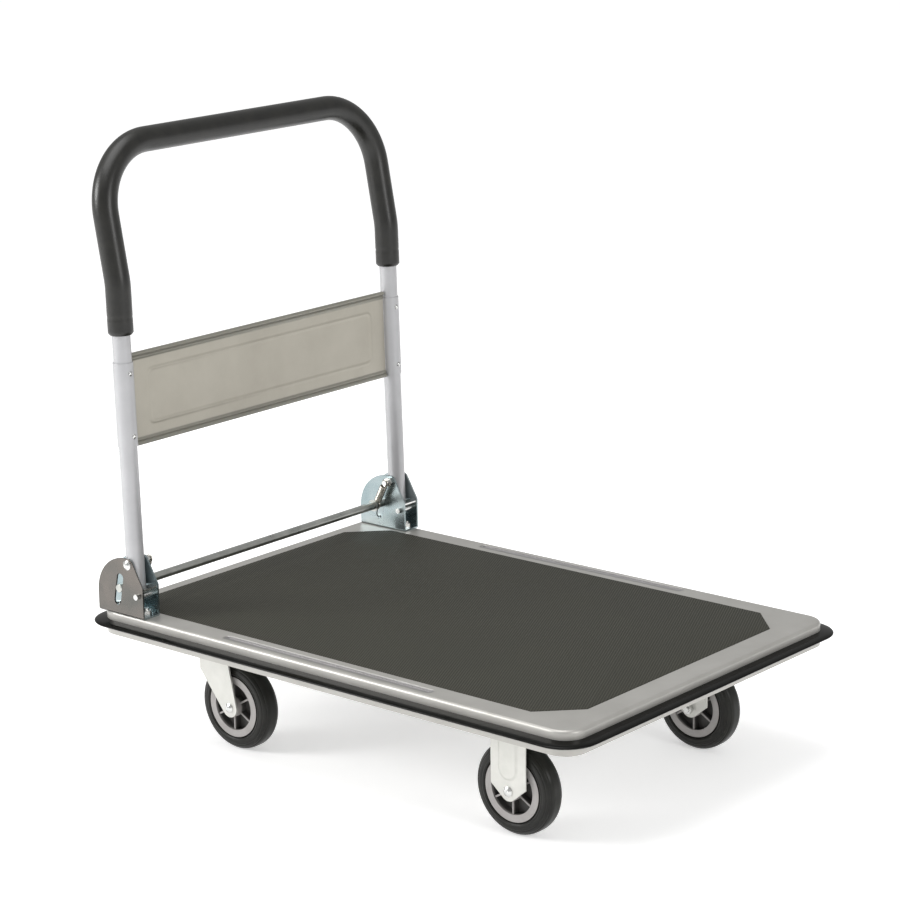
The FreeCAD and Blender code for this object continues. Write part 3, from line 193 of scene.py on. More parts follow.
# A shallow trough with round ends is pressed beside the mat on each side. Its depth falls off smoothly with
# the distance from the line along its middle. Inside it the paint is darkened and tinted lilac: painted shade
# and a painted reflection.
TROUGH_Y, TROUGH_END, TROUGH_FLOOR, TROUGH_HALF, TROUGH_DEPTH = 0.269, 0.177, 0.0025, 0.0090, 0.0040
tree = silver_paint.node_tree
where = add(tree, "SeparateXYZ", Vector=add(tree, "TexCoord").outputs["Object"])
beside = maths(tree, "ABSOLUTE", where.outputs["Y"])
off_line = maths(tree, "SUBTRACT", beside, TROUGH_Y)
past_end = maths(tree, "SUBTRACT", maths(tree, "ABSOLUTE", where.outputs["X"]), TROUGH_END)
past_end = maths(tree, "MAXIMUM", past_end)
square = maths(tree, "ADD", maths(tree, "POWER", past_end, 2.0), maths(tree, "POWER", off_line, 2.0))
pressed = add(tree, "MapRange", {"interpolation_type": "SMOOTHERSTEP"}, Value=maths(tree, "SQRT", square),
              From_Min=TROUGH_FLOOR, From_Max=TROUGH_HALF)
shader = tree.nodes["Principled BSDF"]
orange_peel = shader.inputs["Normal"].links[0].from_socket
pressing = add(tree, "Bump", Height=pressed.outputs["Result"], Distance=TROUGH_DEPTH, Normal=orange_peel)
sprayed = shader.inputs["Base Color"].links[0].from_socket
# Painted shade and reflection: inside the trough the base colour is multiplied by a lilac grey.
darker = add(tree, "MixRGB", {"blend_type": "MULTIPLY"}, Fac=1.0, Color1=sprayed)
trough_painted_shade = shade(tree, pressed.outputs["Result"], (0.80, 0.80, 0.85), (1.0, 1.0, 1.0))
tree.links.new(trough_painted_shade, darker.inputs["Color2"])
tree.links.new(darker.outputs["Color"], shader.inputs["Base Color"])
tree.links.new(pressing.outputs["Normal"], shader.inputs["Normal"])
paint(silver_paint, "deck_pan")


# Mat
# The mat is moulded black rubber, glued into a shallow seat in the deck. Low ribs run slantwise across it and
# a fainter family crosses them. Use has left it dusty, with a few pale scuffs. Its colour is lighter along
# the crests of the ribs and darker between them: painted highlight and painted shade.
def surface(name, points, material, body=None, closed=(True, True)):
    """A mesh from an array of points on a grid, whose last axis is x, y, z. closed says whether the grid
    joins up along its first and its second way. Open ends along the first way get a cap."""
    rows, columns = points.shape[:2]
    first = np.arange(rows if closed[0] else rows - 1)
    second = np.arange(columns if closed[1] else columns - 1)
    i, j = np.meshgrid(first, second, indexing="ij")
    after_i, after_j = (i + 1) % rows, (j + 1) % columns
    corners = [i * columns + j, after_i * columns + j, after_i * columns + after_j, i * columns + after_j]
    faces = np.stack(corners, axis=-1).reshape(-1, 4).tolist()
    if not closed[0]:
        faces += [list(range(columns)), list(range(rows * columns - 1, (rows - 1) * columns - 1, -1))]
    mesh = bpy.data.meshes.new(name)
    mesh.from_pydata(points.reshape(-1, 3).tolist(), [], faces)
    mesh.validate()
    piece = bpy.data.objects.new(name, mesh)
    bpy.context.scene.collection.objects.link(piece)
    mesh.materials.append(material)
    bpy.context.view_layer.objects.active = piece
    piece.select_set(True)
    bpy.ops.object.mode_set(mode="EDIT")
    bpy.ops.mesh.select_all(action="SELECT")
    bpy.ops.mesh.normals_make_consistent(inside=False)
    bpy.ops.object.mode_set(mode="OBJECT")
    piece.select_set(False)
    mesh.polygons.foreach_set("use_smooth", np.ones(len(mesh.polygons), bool))
    mesh.set_sharp_from_angle(angle=np.radians(40))
    if body:
        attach(piece, body)
    return piece


RIBS_LONG, RIBS_WIDE = 257.8, 126.6  # ribs in a metre, along X and along Y
MAT_CORNER, MAT_EDGE, RIB_HEIGHT, RIB_STEPS, CORNER_GAP = 0.050, 0.0008, 0.0004, 8, 0.0003
SCUFF = (0.22, 0.22, 0.21, 1)
mat_low, mat_high = (np.array(corner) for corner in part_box("deck_mat"))
mat_middle, mat_half = (mat_low + mat_high) / 2, (mat_high - mat_low) / 2
ribs_per_metre = np.hypot(RIBS_LONG, RIBS_WIDE)
over_rib = np.array([RIBS_LONG, RIBS_WIDE]) / ribs_per_metre
along_rib = np.array([-over_rib[1], over_rib[0]])
# The outline is four sides and four cut corners, each given by the way it faces and how far out it lies.
faces_out = np.array([(1, 0), (0, 1), (-1, 0), (0, -1), (1, 1), (-1, 1), (-1, -1), (1, -1)], float)
lies_out = np.array([*mat_half[:2], *mat_half[:2], *[mat_half[0] + mat_half[1] - MAT_CORNER] * 4])
# Each row of the grid lies along the ribs, and ends at the outline. The first and the last stop just short
# of a corner.
last_row = over_rib @ (mat_half[:2] - (0, MAT_CORNER)) - CORNER_GAP
row = np.linspace(-last_row, last_row, int(2 * last_row * ribs_per_metre * RIB_STEPS))
per_step = faces_out @ along_rib
stop = (lies_out - np.outer(row, faces_out @ over_rib)) / per_step
row_end = np.where(per_step > 0, stop, np.inf).min(axis=1)
row_start = np.where(per_step < 0, stop, -np.inf).max(axis=1)
# The section along a row: up the side, over the rounded edge, along the rib, and the same way down.
edge = np.minimum(MAT_EDGE, (row_end - row_start) / 6)
rib = RIB_HEIGHT * (0.5 + 0.5 * np.sin(2 * np.pi * (ribs_per_metre * row + RIBS_LONG * mat_middle[0])))
valley = np.full_like(row, mat_high[2] - RIB_HEIGHT)
inset = np.stack([0 * edge, 0 * edge, 0.3 * edge, edge, 2.5 * edge], axis=1)
height = np.stack([0 * row + mat_low[2], valley - edge, valley - 0.3 * edge, valley, valley + rib], axis=1)
place = np.hstack([row_start[:, None] + inset, row_end[:, None] - inset[:, ::-1]])
sheet = np.empty((*place.shape, 3))
sheet[..., :2] = mat_middle[:2] + row[:, None, None] * over_rib + place[..., None] * along_rib
sheet[..., 2] = np.hstack([height, height[:, ::-1]])
mat_rubber = bpy.data.materials.new("mat_rubber")
mat_rubber.use_nodes = True
tree = mat_rubber.node_tree
shader = tree.nodes["Principled BSDF"]
shader.inputs["Specular IOR Level"].default_value = 0.12
where = add(tree, "TexCoord").outputs["Object"]
across = add(tree, "SeparateXYZ", Vector=where)
along_x = maths(tree, "MULTIPLY", across.outputs["X"], 2 * np.pi * RIBS_LONG)
along_y = maths(tree, "MULTIPLY", across.outputs["Y"], 2 * np.pi * RIBS_WIDE)
one_way = maths(tree, "SINE", maths(tree, "ADD", along_x, along_y))
other_way = maths(tree, "SINE", maths(tree, "SUBTRACT", along_x, along_y))
both_ways = maths(tree, "ADD", one_way, maths(tree, "MULTIPLY", other_way, 0.35))
ribs = spread(tree, maths(tree, "MULTIPLY", both_ways, 0.5), 0.5, 1.0)
dust = add(tree, "TexNoise", Vector=where, Scale=9.0, Detail=5.0, Roughness=0.65).outputs["Fac"]
stretched = add(tree, "Mapping", Vector=where, Rotation=(0, 0, 0.35), Scale=(6, 60, 1)).outputs["Vector"]
streak = add(tree, "TexNoise", Vector=stretched, Scale=1.0, Detail=6.0, Roughness=0.7).outputs["Fac"]
scuff = add(tree, "MapRange", Value=streak, From_Min=0.70, From_Max=0.80, To_Max=0.35).outputs["Result"]
# Painted highlight and shade: near black between the ribs, grey along their crests.
rubber = shade(tree, ribs, (0.004, 0.004, 0.003), (0.066, 0.065, 0.053))
dusty = add(tree, "MixRGB", {"blend_type": "MULTIPLY"}, Fac=0.35, Color1=rubber)
tree.links.new(shade(tree, dust, (0.70, 0.70, 0.70), (1.0, 1.0, 0.97)), dusty.inputs["Color2"])
scuffed = add(tree, "MixRGB", Fac=scuff, Color1=dusty.outputs["Color"], Color2=SCUFF)
tree.links.new(scuffed.outputs["Color"], shader.inputs["Base Color"])
tree.links.new(spread(tree, dust, 0.50, 0.66), shader.inputs["Roughness"])
bump = add(tree, "Bump", Height=other_way, Distance=0.0001)
tree.links.new(bump.outputs["Normal"], shader.inputs["Normal"])
mat = surface("rubber_mat", sheet, mat_rubber, "deck", closed=(False, True))
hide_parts("deck_mat")


# Bumper
# A soft black vinyl strip is pushed round the skirt of the deck. Its section is a wedge with a blunt nose,
# flat against the skirt, and its skin is smooth from the die.
bumper_low, bumper_high = (np.array(corner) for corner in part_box("bumper_strip"))
pan_high = np.array(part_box("deck_pan")[1])
reach = bumper_high[0] - pan_high[0]
PAN_CORNER = 0.030
# Round the skirt: four quarter circles about the corner centres, joined by the straight sides.
steps = 15
quarter = np.linspace(0, np.pi / 2, steps)
angle = np.concatenate([quarter + step * np.pi / 2 for step in range(4)])
sign_x, sign_y = np.repeat([1, -1, -1, 1], steps), np.repeat([1, 1, -1, -1], steps)
outward = np.column_stack([np.cos(angle), np.sin(angle)])
corner_x, corner_y = sign_x * (pan_high[0] - PAN_CORNER), sign_y * (pan_high[1] - PAN_CORNER)
skirt = np.column_stack([corner_x, corner_y]) + outward * PAN_CORNER
# The section is a wedge: its half thickness falls from the skirt to the nose, and closes there in a round
# tip.
ROOT_LIFT, ROOT_HALF, NOSE_HALF = 0.0003, 0.0042, 0.0019
turn = np.linspace(0, np.pi, 41)
along = np.abs(np.sin(turn))
half = (NOSE_HALF + (ROOT_HALF - NOSE_HALF) * (1 - along) ** 0.8) * np.sqrt(1 - along ** 8)
out = reach * along
rim = (bumper_high[2] + bumper_low[2]) / 2 + ROOT_LIFT + np.sign(np.cos(turn)) * half
strip = np.empty((len(skirt), len(turn), 3))
strip[..., :2] = skirt[:, None, :] + outward[:, None, :] * out[None, :, None]
strip[..., 2] = rim
bumper_vinyl = finish(
    "bumper_vinyl", (0.003, 0.003, 0.0025), (0.007, 0.007, 0.006), (0.10, 0.18), 0.04, 0.002, 0.00002,
    shine=0.10,
)
bumper = surface("vinyl_bumper", strip, bumper_vinyl, "deck")
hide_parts("bumper_strip")


# Underframe
# Two hat channels and two hat ribs are spot-welded under the deck. They are sprayed together with it, and
# the spray is thinner and drier underneath.
underside_paint = finish(
    "underside_paint", (0.30, 0.30, 0.30), (0.37, 0.37, 0.37), (0.42, 0.58), 0.05, 0.002, 0.00006,
    metallic=0.4,
)
paint(underside_paint, "front_channel", "rear_channel", "rib_left", "rib_right")


# Zinc-plated fittings
# The brackets, plates and fasteners are pressed or turned from steel and bright zinc plated, which leaves
# a bluish bloom in soft patches, and their sheared edges are a little rounded.
plate_zinc = finish(
    "plate_zinc", (0.24, 0.305, 0.32), (0.40, 0.445, 0.45), (0.22, 0.32), 0.09, 0.0015, 0.00003,
    metallic=0.95, round_edge=0.0007,
)
# On the outer face of the right bracket the colour is multiplied by brown: a painted reflection of brown
# surroundings, which also darkens that face as painted shade.
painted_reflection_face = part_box("bracket_right")[0][1]
tree = plate_zinc.node_tree
shader = tree.nodes["Principled BSDF"]
bluish = shader.inputs["Base Color"].links[0].from_socket
where = add(tree, "SeparateXYZ", Vector=add(tree, "TexCoord").outputs["Object"])
FADE_START, FADE_END, PAINTED_REFLECTION_BROWN = 0.0024, 0.0012, (0.46, 0.36, 0.32, 1)
on_face = add(tree, "MapRange", Value=where.outputs["Y"], From_Min=painted_reflection_face + FADE_START,
              From_Max=painted_reflection_face + FADE_END).outputs["Result"]
bloom = add(tree, "MixRGB", {"blend_type": "MULTIPLY"}, Fac=on_face, Color1=bluish, Color2=PAINTED_REFLECTION_BROWN)
tree.links.new(bloom.outputs["Color"], shader.inputs["Base Color"])
bolt_zinc = finish(
    "bolt_zinc", (0.55, 0.56, 0.55), (0.72, 0.72, 0.70), (0.16, 0.30), 0.01, 0.0008, 0.00002,
    metallic=0.95, round_edge=0.0005,
)
both = ("left", "right")
paint(plate_zinc, *(f"bracket_{hand}" for hand in both))
paint(bolt_zinc, *(f"{part}_{hand}" for part in ("stop_plate", "pivot_bolt") for hand in both))
paint(bolt_zinc, "pivot_nuts", "bracket_bolts", "bracket_nuts")
paint(bolt_zinc, "caster_bolts", "caster_nuts", "panel_rivets")


# Foot bar
# A drawn steel rod lies across the cart in the slots of the brackets. It is zinc plated, and a clip beside
# each spring keeps it centred.
bar_zinc = finish(
    "bar_zinc", (0.36, 0.37, 0.35), (0.50, 0.51, 0.48), (0.22, 0.38), 0.02, 0.0012, 0.00003, metallic=0.95,
)
paint(bar_zinc, "foot_bar", "bar_clips")


# Return springs
# Each spring is one length of bright wire, close wound, with an open eye at both ends: one round the pivot
# bolt, one round the foot bar. On the cart it stretches when the bar is pressed down; here the coil is
# built once, in its rest shape.
def tube(path, radius, sides, reference):
    """Points on a round tube along a path. At each point the wall is a circle square to the path, which is
    measured from a reference direction that never runs along the path."""
    ahead = np.gradient(path, axis=0)
    ahead /= np.linalg.norm(ahead, axis=1, keepdims=True)
    normal = np.cross(ahead, reference)
    normal /= np.linalg.norm(normal, axis=1, keepdims=True)
    binormal = np.cross(ahead, normal)
    around = np.linspace(0, 2 * np.pi, sides, endpoint=False)
    radius = np.broadcast_to(radius, len(path))
    ring = normal[:, None] * np.cos(around)[None, :, None] + binormal[:, None] * np.sin(around)[None, :, None]
    return path[:, None] + ring * radius[:, None, None]


WIRE, COIL = 0.0008, 0.0047  # radius of the wire, and of the coil to the middle of the wire
PIVOT_EYE, BAR_EYE, EYE_OPEN = 0.0051, 0.0071, 0.15  # the eyes' radii, and their open angle on each side
spring_wire = finish(
    "spring_wire", (0.50, 0.48, 0.42), (0.68, 0.65, 0.58), (0.18, 0.30), 0.008, 0.001, 0.00001, metallic=0.95
)
bar_low, bar_high = (np.array(corner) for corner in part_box("foot_bar"))
bar_middle = (bar_low + bar_high) / 2
bolt_low, bolt_high = (np.array(corner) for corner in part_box("pivot_bolt_left"))
pivot = (bolt_low + bolt_high) / 2
for hand in both:
    low, high = (np.array(corner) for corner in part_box(f"spring_{hand}"))
    middle_y = (low[1] + high[1]) / 2
    top_eye = np.array([pivot[0], middle_y, pivot[2]])
    bar_eye = np.array([bar_middle[0], middle_y, bar_middle[2]])
    down = (bar_eye - top_eye) / np.linalg.norm(bar_eye - top_eye)
    beside = np.cross(down, (0, 1, 0))
    length = np.linalg.norm(bar_eye - top_eye)
    begin, end = PIVOT_EYE + WIRE, length - BAR_EYE - WIRE
    winds = round((end - begin) / (2 * WIRE))
    # Upper eye, then the helix, then the lower eye.
    loop = np.linspace(EYE_OPEN, 2 * np.pi - EYE_OPEN, 40)[:, None]
    upper = top_eye + PIVOT_EYE * (np.cos(loop) * down + np.sin(loop) * beside)
    wind = np.linspace(0, 2 * np.pi * winds, 20 * winds)[:, None]
    step = begin + (end - begin) * wind / (2 * np.pi * winds)
    helix = top_eye + step * down + COIL * (np.cos(wind) * beside + np.sin(wind) * np.array([0, 1, 0]))
    lower = bar_eye + BAR_EYE * (-np.cos(loop) * down + np.sin(loop) * beside)
    path = np.vstack([upper, helix, lower])
    # The wall is measured from the bolt's direction in the eyes and from the spring's in the helix.
    in_helix = np.concatenate([np.zeros(len(upper)), np.ones(len(helix)), np.zeros(len(lower))])
    in_helix = np.convolve(np.pad(in_helix, 3), np.full(7, 1 / 7), mode="valid")[:, None]
    reference = in_helix * down + (1 - in_helix) * np.array([0.0, 1.0, 0.0])
    coil = surface(f"coil_{hand}", tube(path, WIRE, 8, reference), spring_wire, closed=(False, True))
    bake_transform(coil)
    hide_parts(f"spring_{hand}")


# Handle tube
# One length of steel tube is bent into the handle, drilled at its feet for the pivot bolts, and sprayed
# silver like the deck.
tube_paint = finish(
    "tube_paint", (0.42, 0.42, 0.43), (0.47, 0.47, 0.48), (0.34, 0.44), 0.05, 0.0012, 0.00003,
    metallic=0.4, coat=0.15,
)
paint(tube_paint, "handle_tube")


# Grip
# A thick foam sleeve with a smooth black skin is slid over the top of the handle and takes its bends. Its
# ends are trimmed round, with a faint ring beside each.
LEAN_LOW, LEAN_HIGH = np.tan(np.radians([1.4, 10.4]))
KNEE, TOP = 0.389, 0.569  # above the pivot
KNEE_BEND, CORNER_BEND = 0.110, 0.092
leg_y = np.mean([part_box("bracket_left")[0][1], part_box("bracket_left")[1][1]])


def bent(corners, bends):
    """Points along straight runs joined by arcs that touch them, with one bend radius for each corner."""
    parts = [corners[:1]]
    for before, corner, after, radius in zip(corners, corners[1:], corners[2:], bends):
        back = (before - corner) / np.linalg.norm(before - corner)
        ahead = (after - corner) / np.linalg.norm(after - corner)
        half = np.arccos(back @ ahead) / 2
        inward = (back + ahead) / np.linalg.norm(back + ahead)
        centre = corner + inward * radius / np.sin(half)
        sweep = np.linspace(half - np.pi / 2, np.pi / 2 - half, 28)[:, None]
        across = (ahead - back) / np.linalg.norm(ahead - back)
        parts.append(centre + radius * (-np.cos(sweep) * inward + np.sin(sweep) * across))
    parts.append(corners[-1:])
    return np.vstack(parts)


def even(path, gap):
    """The same path with points a gap apart, by length along it."""
    along = np.concatenate([[0], np.cumsum(np.linalg.norm(np.diff(path, axis=0), axis=1))])
    wanted = np.linspace(0, along[-1], int(along[-1] / gap))
    return np.column_stack([np.interp(wanted, along, path[:, axis]) for axis in range(3)]), wanted


GRIP_LEFT, GRIP_RIGHT, GRIP = 0.328, 0.319, 0.0175  # ends of the sleeve above the pivot, and its radius
TRIM_DEPTH, TRIM_LENGTH, RING_DEPTH, RING_PLACE, RING_WIDTH = 0.0025, 0.003, 0.0004, 0.024, 0.0012
knee_x, top_x = -LEAN_LOW * KNEE, -LEAN_LOW * KNEE - LEAN_HIGH * (TOP - KNEE)
corners = pivot * (1, 0, 1) + np.array([
    (-LEAN_LOW * GRIP_LEFT, leg_y, GRIP_LEFT),
    (knee_x, leg_y, KNEE),
    (top_x, leg_y, TOP),
    (top_x, -leg_y, TOP),
    (knee_x, -leg_y, KNEE),
    (-LEAN_LOW * GRIP_RIGHT, -leg_y, GRIP_RIGHT),
])
path, along = even(bent(corners, (KNEE_BEND, CORNER_BEND, CORNER_BEND, KNEE_BEND)), 0.003)
from_end = np.minimum(along, along[-1] - along)
rounded = GRIP - TRIM_DEPTH * np.clip(1 - from_end / TRIM_LENGTH, 0, 1) ** 2
thickness = rounded - RING_DEPTH * np.exp(-((from_end - RING_PLACE) / RING_WIDTH) ** 2)
grip_foam = finish(
    "grip_foam", (0.005, 0.005, 0.004), (0.012, 0.0115, 0.009), (0.30, 0.38), 0.02, 0.0011, 0.00005,
)
grip = surface("foam_grip", tube(path, thickness, 48, np.array([1.0, 0.0, 0.0])), grip_foam, "handle",
               closed=(False, True))
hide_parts("handle_grip")


# Back panel
# A sheet steel panel joins the legs. Its upper and lower edges are rolled twice, a bead is pressed into it
# in a rectangle, and its ends are wrapped round the legs and riveted.
PANEL_LOW, PANEL_HIGH, SHEET = 0.161, 0.291, 0.0006
WRAP_LOW, WRAP_HIGH, WRAP_IN, WRAP_OUT = 0.165, 0.281, 0.0128, 0.0140
# For each roll: its middle from the edge, its half width and its half thickness.
FULL_ROLL, SMALL_ROLL = (0.0030, 0.0030, 0.0034), (0.0082, 0.0024, 0.0020)
BEAD_IN_Y, BEAD_IN_Z, BEAD_CORNER, BEAD_HALF, BEAD_RISE = 0.030, 0.028, 0.008, 0.0035, 0.0008
HEM_PAINTED_SHADE, HEM_START, HEM_END = (0.60, 0.62, 0.62, 1), 0.0125, 0.0105
lean = np.radians(1.4)


def on_leg(points):
    """Points in the panel's own upright place, leaned back with the legs and set on the pivot."""
    x, y, z = points[..., 0], points[..., 1], points[..., 2]
    turned = np.stack([x * np.cos(lean) - z * np.sin(lean), y, x * np.sin(lean) + z * np.cos(lean)], axis=-1)
    return turned + pivot * (1, 0, 1)


panel_end = leg_y - WRAP_OUT - 0.001
y = np.linspace(-panel_end, panel_end, 230)
rise_z = np.linspace(PANEL_LOW, PANEL_HIGH, 130)
# Each edge is two rolls, a full one and a smaller one beside it: half circles on both faces.
edge = np.minimum(rise_z - PANEL_LOW, PANEL_HIGH - rise_z)
rolls = [np.sqrt(np.clip(1 - ((edge - middle) / wide) ** 2, 0, 1)) * thick
         for middle, wide, thick in (FULL_ROLL, SMALL_ROLL)]
roll = np.maximum(*rolls)
half = np.maximum(roll, np.where(edge > 0.0005, SHEET, 0.0001))
# The bead follows a rectangle with round corners: a raised cosine across its line.
bead_y, bead_z = panel_end - BEAD_IN_Y, (PANEL_HIGH - PANEL_LOW) / 2 - BEAD_IN_Z
dy = np.abs(y)[:, None] - (bead_y - BEAD_CORNER)
dz = np.abs(rise_z - (PANEL_HIGH + PANEL_LOW) / 2)[None, :] - (bead_z - BEAD_CORNER)
outside = np.hypot(np.clip(dy, 0, None), np.clip(dz, 0, None)) + np.minimum(np.maximum(dy, dz), 0)
line = np.clip(np.abs(outside - BEAD_CORNER) / BEAD_HALF, 0, 1)
bead = BEAD_RISE * (0.5 + 0.5 * np.cos(np.pi * line))
front = np.stack([half[None, :] + bead, np.broadcast_to(y[:, None], bead.shape),
                  np.broadcast_to(rise_z[None, :], bead.shape)], axis=-1)
rear = np.stack([bead - half[None, :], front[..., 1], front[..., 2]], axis=-1)
panel_paint = finish(
    "panel_paint", (0.375, 0.35, 0.295), (0.43, 0.405, 0.345), (0.34, 0.44), 0.08, 0.0012, 0.00003,
    metallic=0.35, coat=0.15,
)
# The rolled edges are painted darker: painted shade in the lines between the rolls.
tree = panel_paint.node_tree
shader = tree.nodes["Principled BSDF"]
sprayed = shader.inputs["Base Color"].links[0].from_socket
where = add(tree, "SeparateXYZ", Vector=add(tree, "TexCoord").outputs["Object"])
panel_middle = pivot[2] + (PANEL_LOW + PANEL_HIGH) / 2 * np.cos(lean)
off_middle = maths(tree, "ABSOLUTE", maths(tree, "SUBTRACT", where.outputs["Z"], panel_middle))
at_hem = add(tree, "MapRange", Value=off_middle, From_Min=(PANEL_HIGH - PANEL_LOW) / 2 - HEM_START,
             From_Max=(PANEL_HIGH - PANEL_LOW) / 2 - HEM_END)
hem_painted_shade = add(tree, "MixRGB", {"blend_type": "MULTIPLY"}, Fac=at_hem.outputs["Result"], Color1=sprayed,
          Color2=HEM_PAINTED_SHADE)
tree.links.new(hem_painted_shade.outputs["Color"], shader.inputs["Base Color"])
both_faces = on_leg(np.concatenate([front, rear[:, ::-1]], axis=1))
panel = surface("sheet_panel", both_faces, panel_paint, "handle", closed=(False, True))
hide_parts("back_panel")
# A wrap is a thin ring wall round the leg: a thin section carried round a circle.
around = np.linspace(0, 2 * np.pi, 64, endpoint=False)[:, None]
wall = np.array([(WRAP_IN, WRAP_LOW), (WRAP_OUT, WRAP_LOW), (WRAP_OUT, WRAP_HIGH), (WRAP_IN, WRAP_HIGH)])
for hand, side in zip(both, (1, -1)):
    ring = np.stack([np.cos(around) * wall[:, 0], side * leg_y + np.sin(around) * wall[:, 0],
                     np.broadcast_to(wall[:, 1], (64, 4))], axis=-1)
    wrap = surface(f"panel_wrap_{hand}", on_leg(ring), tube_paint, "handle")
    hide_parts("back_panel")


# Swivel forks, plates and axles
# The forks and plates are pressed steel with a pale, even zinc plate. Swivel balls run between plate and
# crown, and each axle is a domed bolt through a steel sleeve.
fork_zinc = finish(
    "fork_zinc", (0.53, 0.53, 0.495), (0.62, 0.615, 0.58), (0.26, 0.38), 0.035, 0.0015, 0.00003,
    metallic=0.45, round_edge=0.0009,
)
ball_steel = finish(
    "ball_steel", (0.60, 0.60, 0.60), (0.70, 0.70, 0.70), (0.08, 0.14), 0.004, 0.001, 0.000005, metallic=1.0
)
ends = [f"{end}_{hand}" for end in ("front", "rear") for hand in both]
paint(fork_zinc, *(f"rear_{hand}_{part}" for hand in both for part in ("fork", "plate")))
paint(bolt_zinc, *(f"{end}_{part}" for end in ends for part in ("axle_bolt", "axle_nut", "axle_sleeve")))
paint(bolt_zinc, *(f"rear_{hand}_{part}" for hand in both for part in ("king_pin", "king_nut")))
paint(ball_steel, *(f"rear_{hand}_balls" for hand in both))


# Fixed forks
# A fixed fork is pressed from one sheet: a plate bolted to the deck's front channel, and two legs that
# narrow to a round tip. A U-shaped panel is pressed outwards in each leg to stiffen it.
LEG_SHEET, LEG_HALF, TIP, SHOULDER = 0.0025, 0.02875, 0.0135, 0.0065
PRESS_HALF, PRESS_FOOT, PRESS_DEPTH, PRESS_EDGE = 0.0142, 0.0165, 0.0020, 0.0036
EDGE_ROUND, PLATE_CORNER, PLATE_THICK, PLATE_ROUND = 0.0007, 0.006, 0.003, 0.0006
for hand in both:
    fork_low, fork_high = (np.array(corner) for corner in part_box(f"front_{hand}_fork"))
    sleeve_low, sleeve_high = (np.array(corner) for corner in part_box(f"front_{hand}_axle_sleeve"))
    axle, inner = (sleeve_low + sleeve_high) / 2, (sleeve_high - sleeve_low)[1] / 2
    top = fork_high[2] - axle[2] - PLATE_THICK
    # Rows of a leg rise from its tip. The half width of a row follows the round tip, then the slanting
    # edge that touches the tip, then the straight side.
    slant = np.arctan2(SHOULDER, LEG_HALF) - np.arccos(TIP / np.hypot(LEG_HALF, SHOULDER))
    touch = TIP * np.sin(slant)
    tip_turn = np.linspace(-np.pi / 2, slant, 22)
    row_z = np.concatenate([TIP * np.sin(tip_turn), np.linspace(touch, SHOULDER, 14)[1:],
                            np.linspace(SHOULDER, top, 70)[1:]])
    row_half = np.where(row_z < touch, np.sqrt(np.clip(TIP ** 2 - row_z ** 2, 0, None)),
                        np.interp(row_z, (touch, SHOULDER), (TIP * np.cos(slant), LEG_HALF)))
    row_half = np.maximum(row_half, 0.0003)
    across = np.linspace(-1, 1, 75)
    x = row_half[:, None] * across
    z = np.broadcast_to(row_z[:, None], x.shape)
    # The pressing stands out inside a U: straight sides over a half circle, with a smooth step at its edge.
    centre_z = PRESS_FOOT + PRESS_HALF
    depth_in = PRESS_HALF - np.where(z > centre_z, np.abs(x), np.hypot(x, z - centre_z))
    step = np.clip(depth_in / PRESS_EDGE + 0.5, 0, 1)
    press = PRESS_DEPTH * step ** 2 * (3 - 2 * step)
    # The sheared edge of the leg is rounded: both faces fall back within the rounding of the rim.
    rim = np.clip(np.minimum(row_half[:, None] * (1 - np.abs(across)), z - row_z[0]) / EDGE_ROUND, 0, 1)
    fall = EDGE_ROUND * (1 - np.sqrt(1 - (1 - rim) ** 2))
    for face in (-1, 1):
        outer_y = axle[1] + face * (inner + LEG_SHEET + press - fall)
        inner_y = axle[1] + face * (inner + press + fall)
        leg = np.stack([np.stack([x + axle[0], y, z + axle[2]], axis=-1) for y in (outer_y, inner_y)])
        leg = np.concatenate([leg[0], leg[1][:, ::-1]], axis=1)
        name = f"fork_leg_{hand}_{'outer' if face == np.sign(axle[1]) else 'inner'}"
        leg_piece = surface(name, leg, fork_zinc, "deck", closed=(False, True))
        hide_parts(f"front_{hand}_fork")
    # The plate: a rounded oblong carried up through its thickness, a little smaller at both faces.
    middle = (fork_low + fork_high) / 2
    corner_turn = np.concatenate([np.linspace(0, np.pi / 2, 9) + k * np.pi / 2 for k in range(4)])
    corner = np.column_stack([np.cos(corner_turn), np.sin(corner_turn)])
    signs = np.column_stack([np.repeat([1, -1, -1, 1], 9), np.repeat([1, 1, -1, -1], 9)])
    half_plate = (fork_high - fork_low)[:2] / 2
    shrink = np.array([PLATE_ROUND, 0, 0, PLATE_ROUND])
    levels = fork_high[2] - PLATE_THICK + np.array([0, PLATE_ROUND, PLATE_THICK - PLATE_ROUND, PLATE_THICK])
    base = signs * (half_plate - PLATE_CORNER)
    plate = np.empty((4, 36, 3))
    plate[..., :2] = middle[:2] + base + corner * (PLATE_CORNER - shrink[:, None, None])
    plate[..., 2] = levels[:, None]
    plate_piece = surface(f"fork_plate_{hand}", plate, fork_zinc, "deck", closed=(False, True))
    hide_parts(f"front_{hand}_fork")


# Wheels
# A solid rubber tyre is moulded on a grey plastic hub. The tyre has round shoulders, a groove where it
# meets the hub and fine moulded rings on each side. The pockets of the hub are painted dark: painted shade.
POCKET_PAINTED_SHADE = (0.055, 0.053, 0.050, 1)


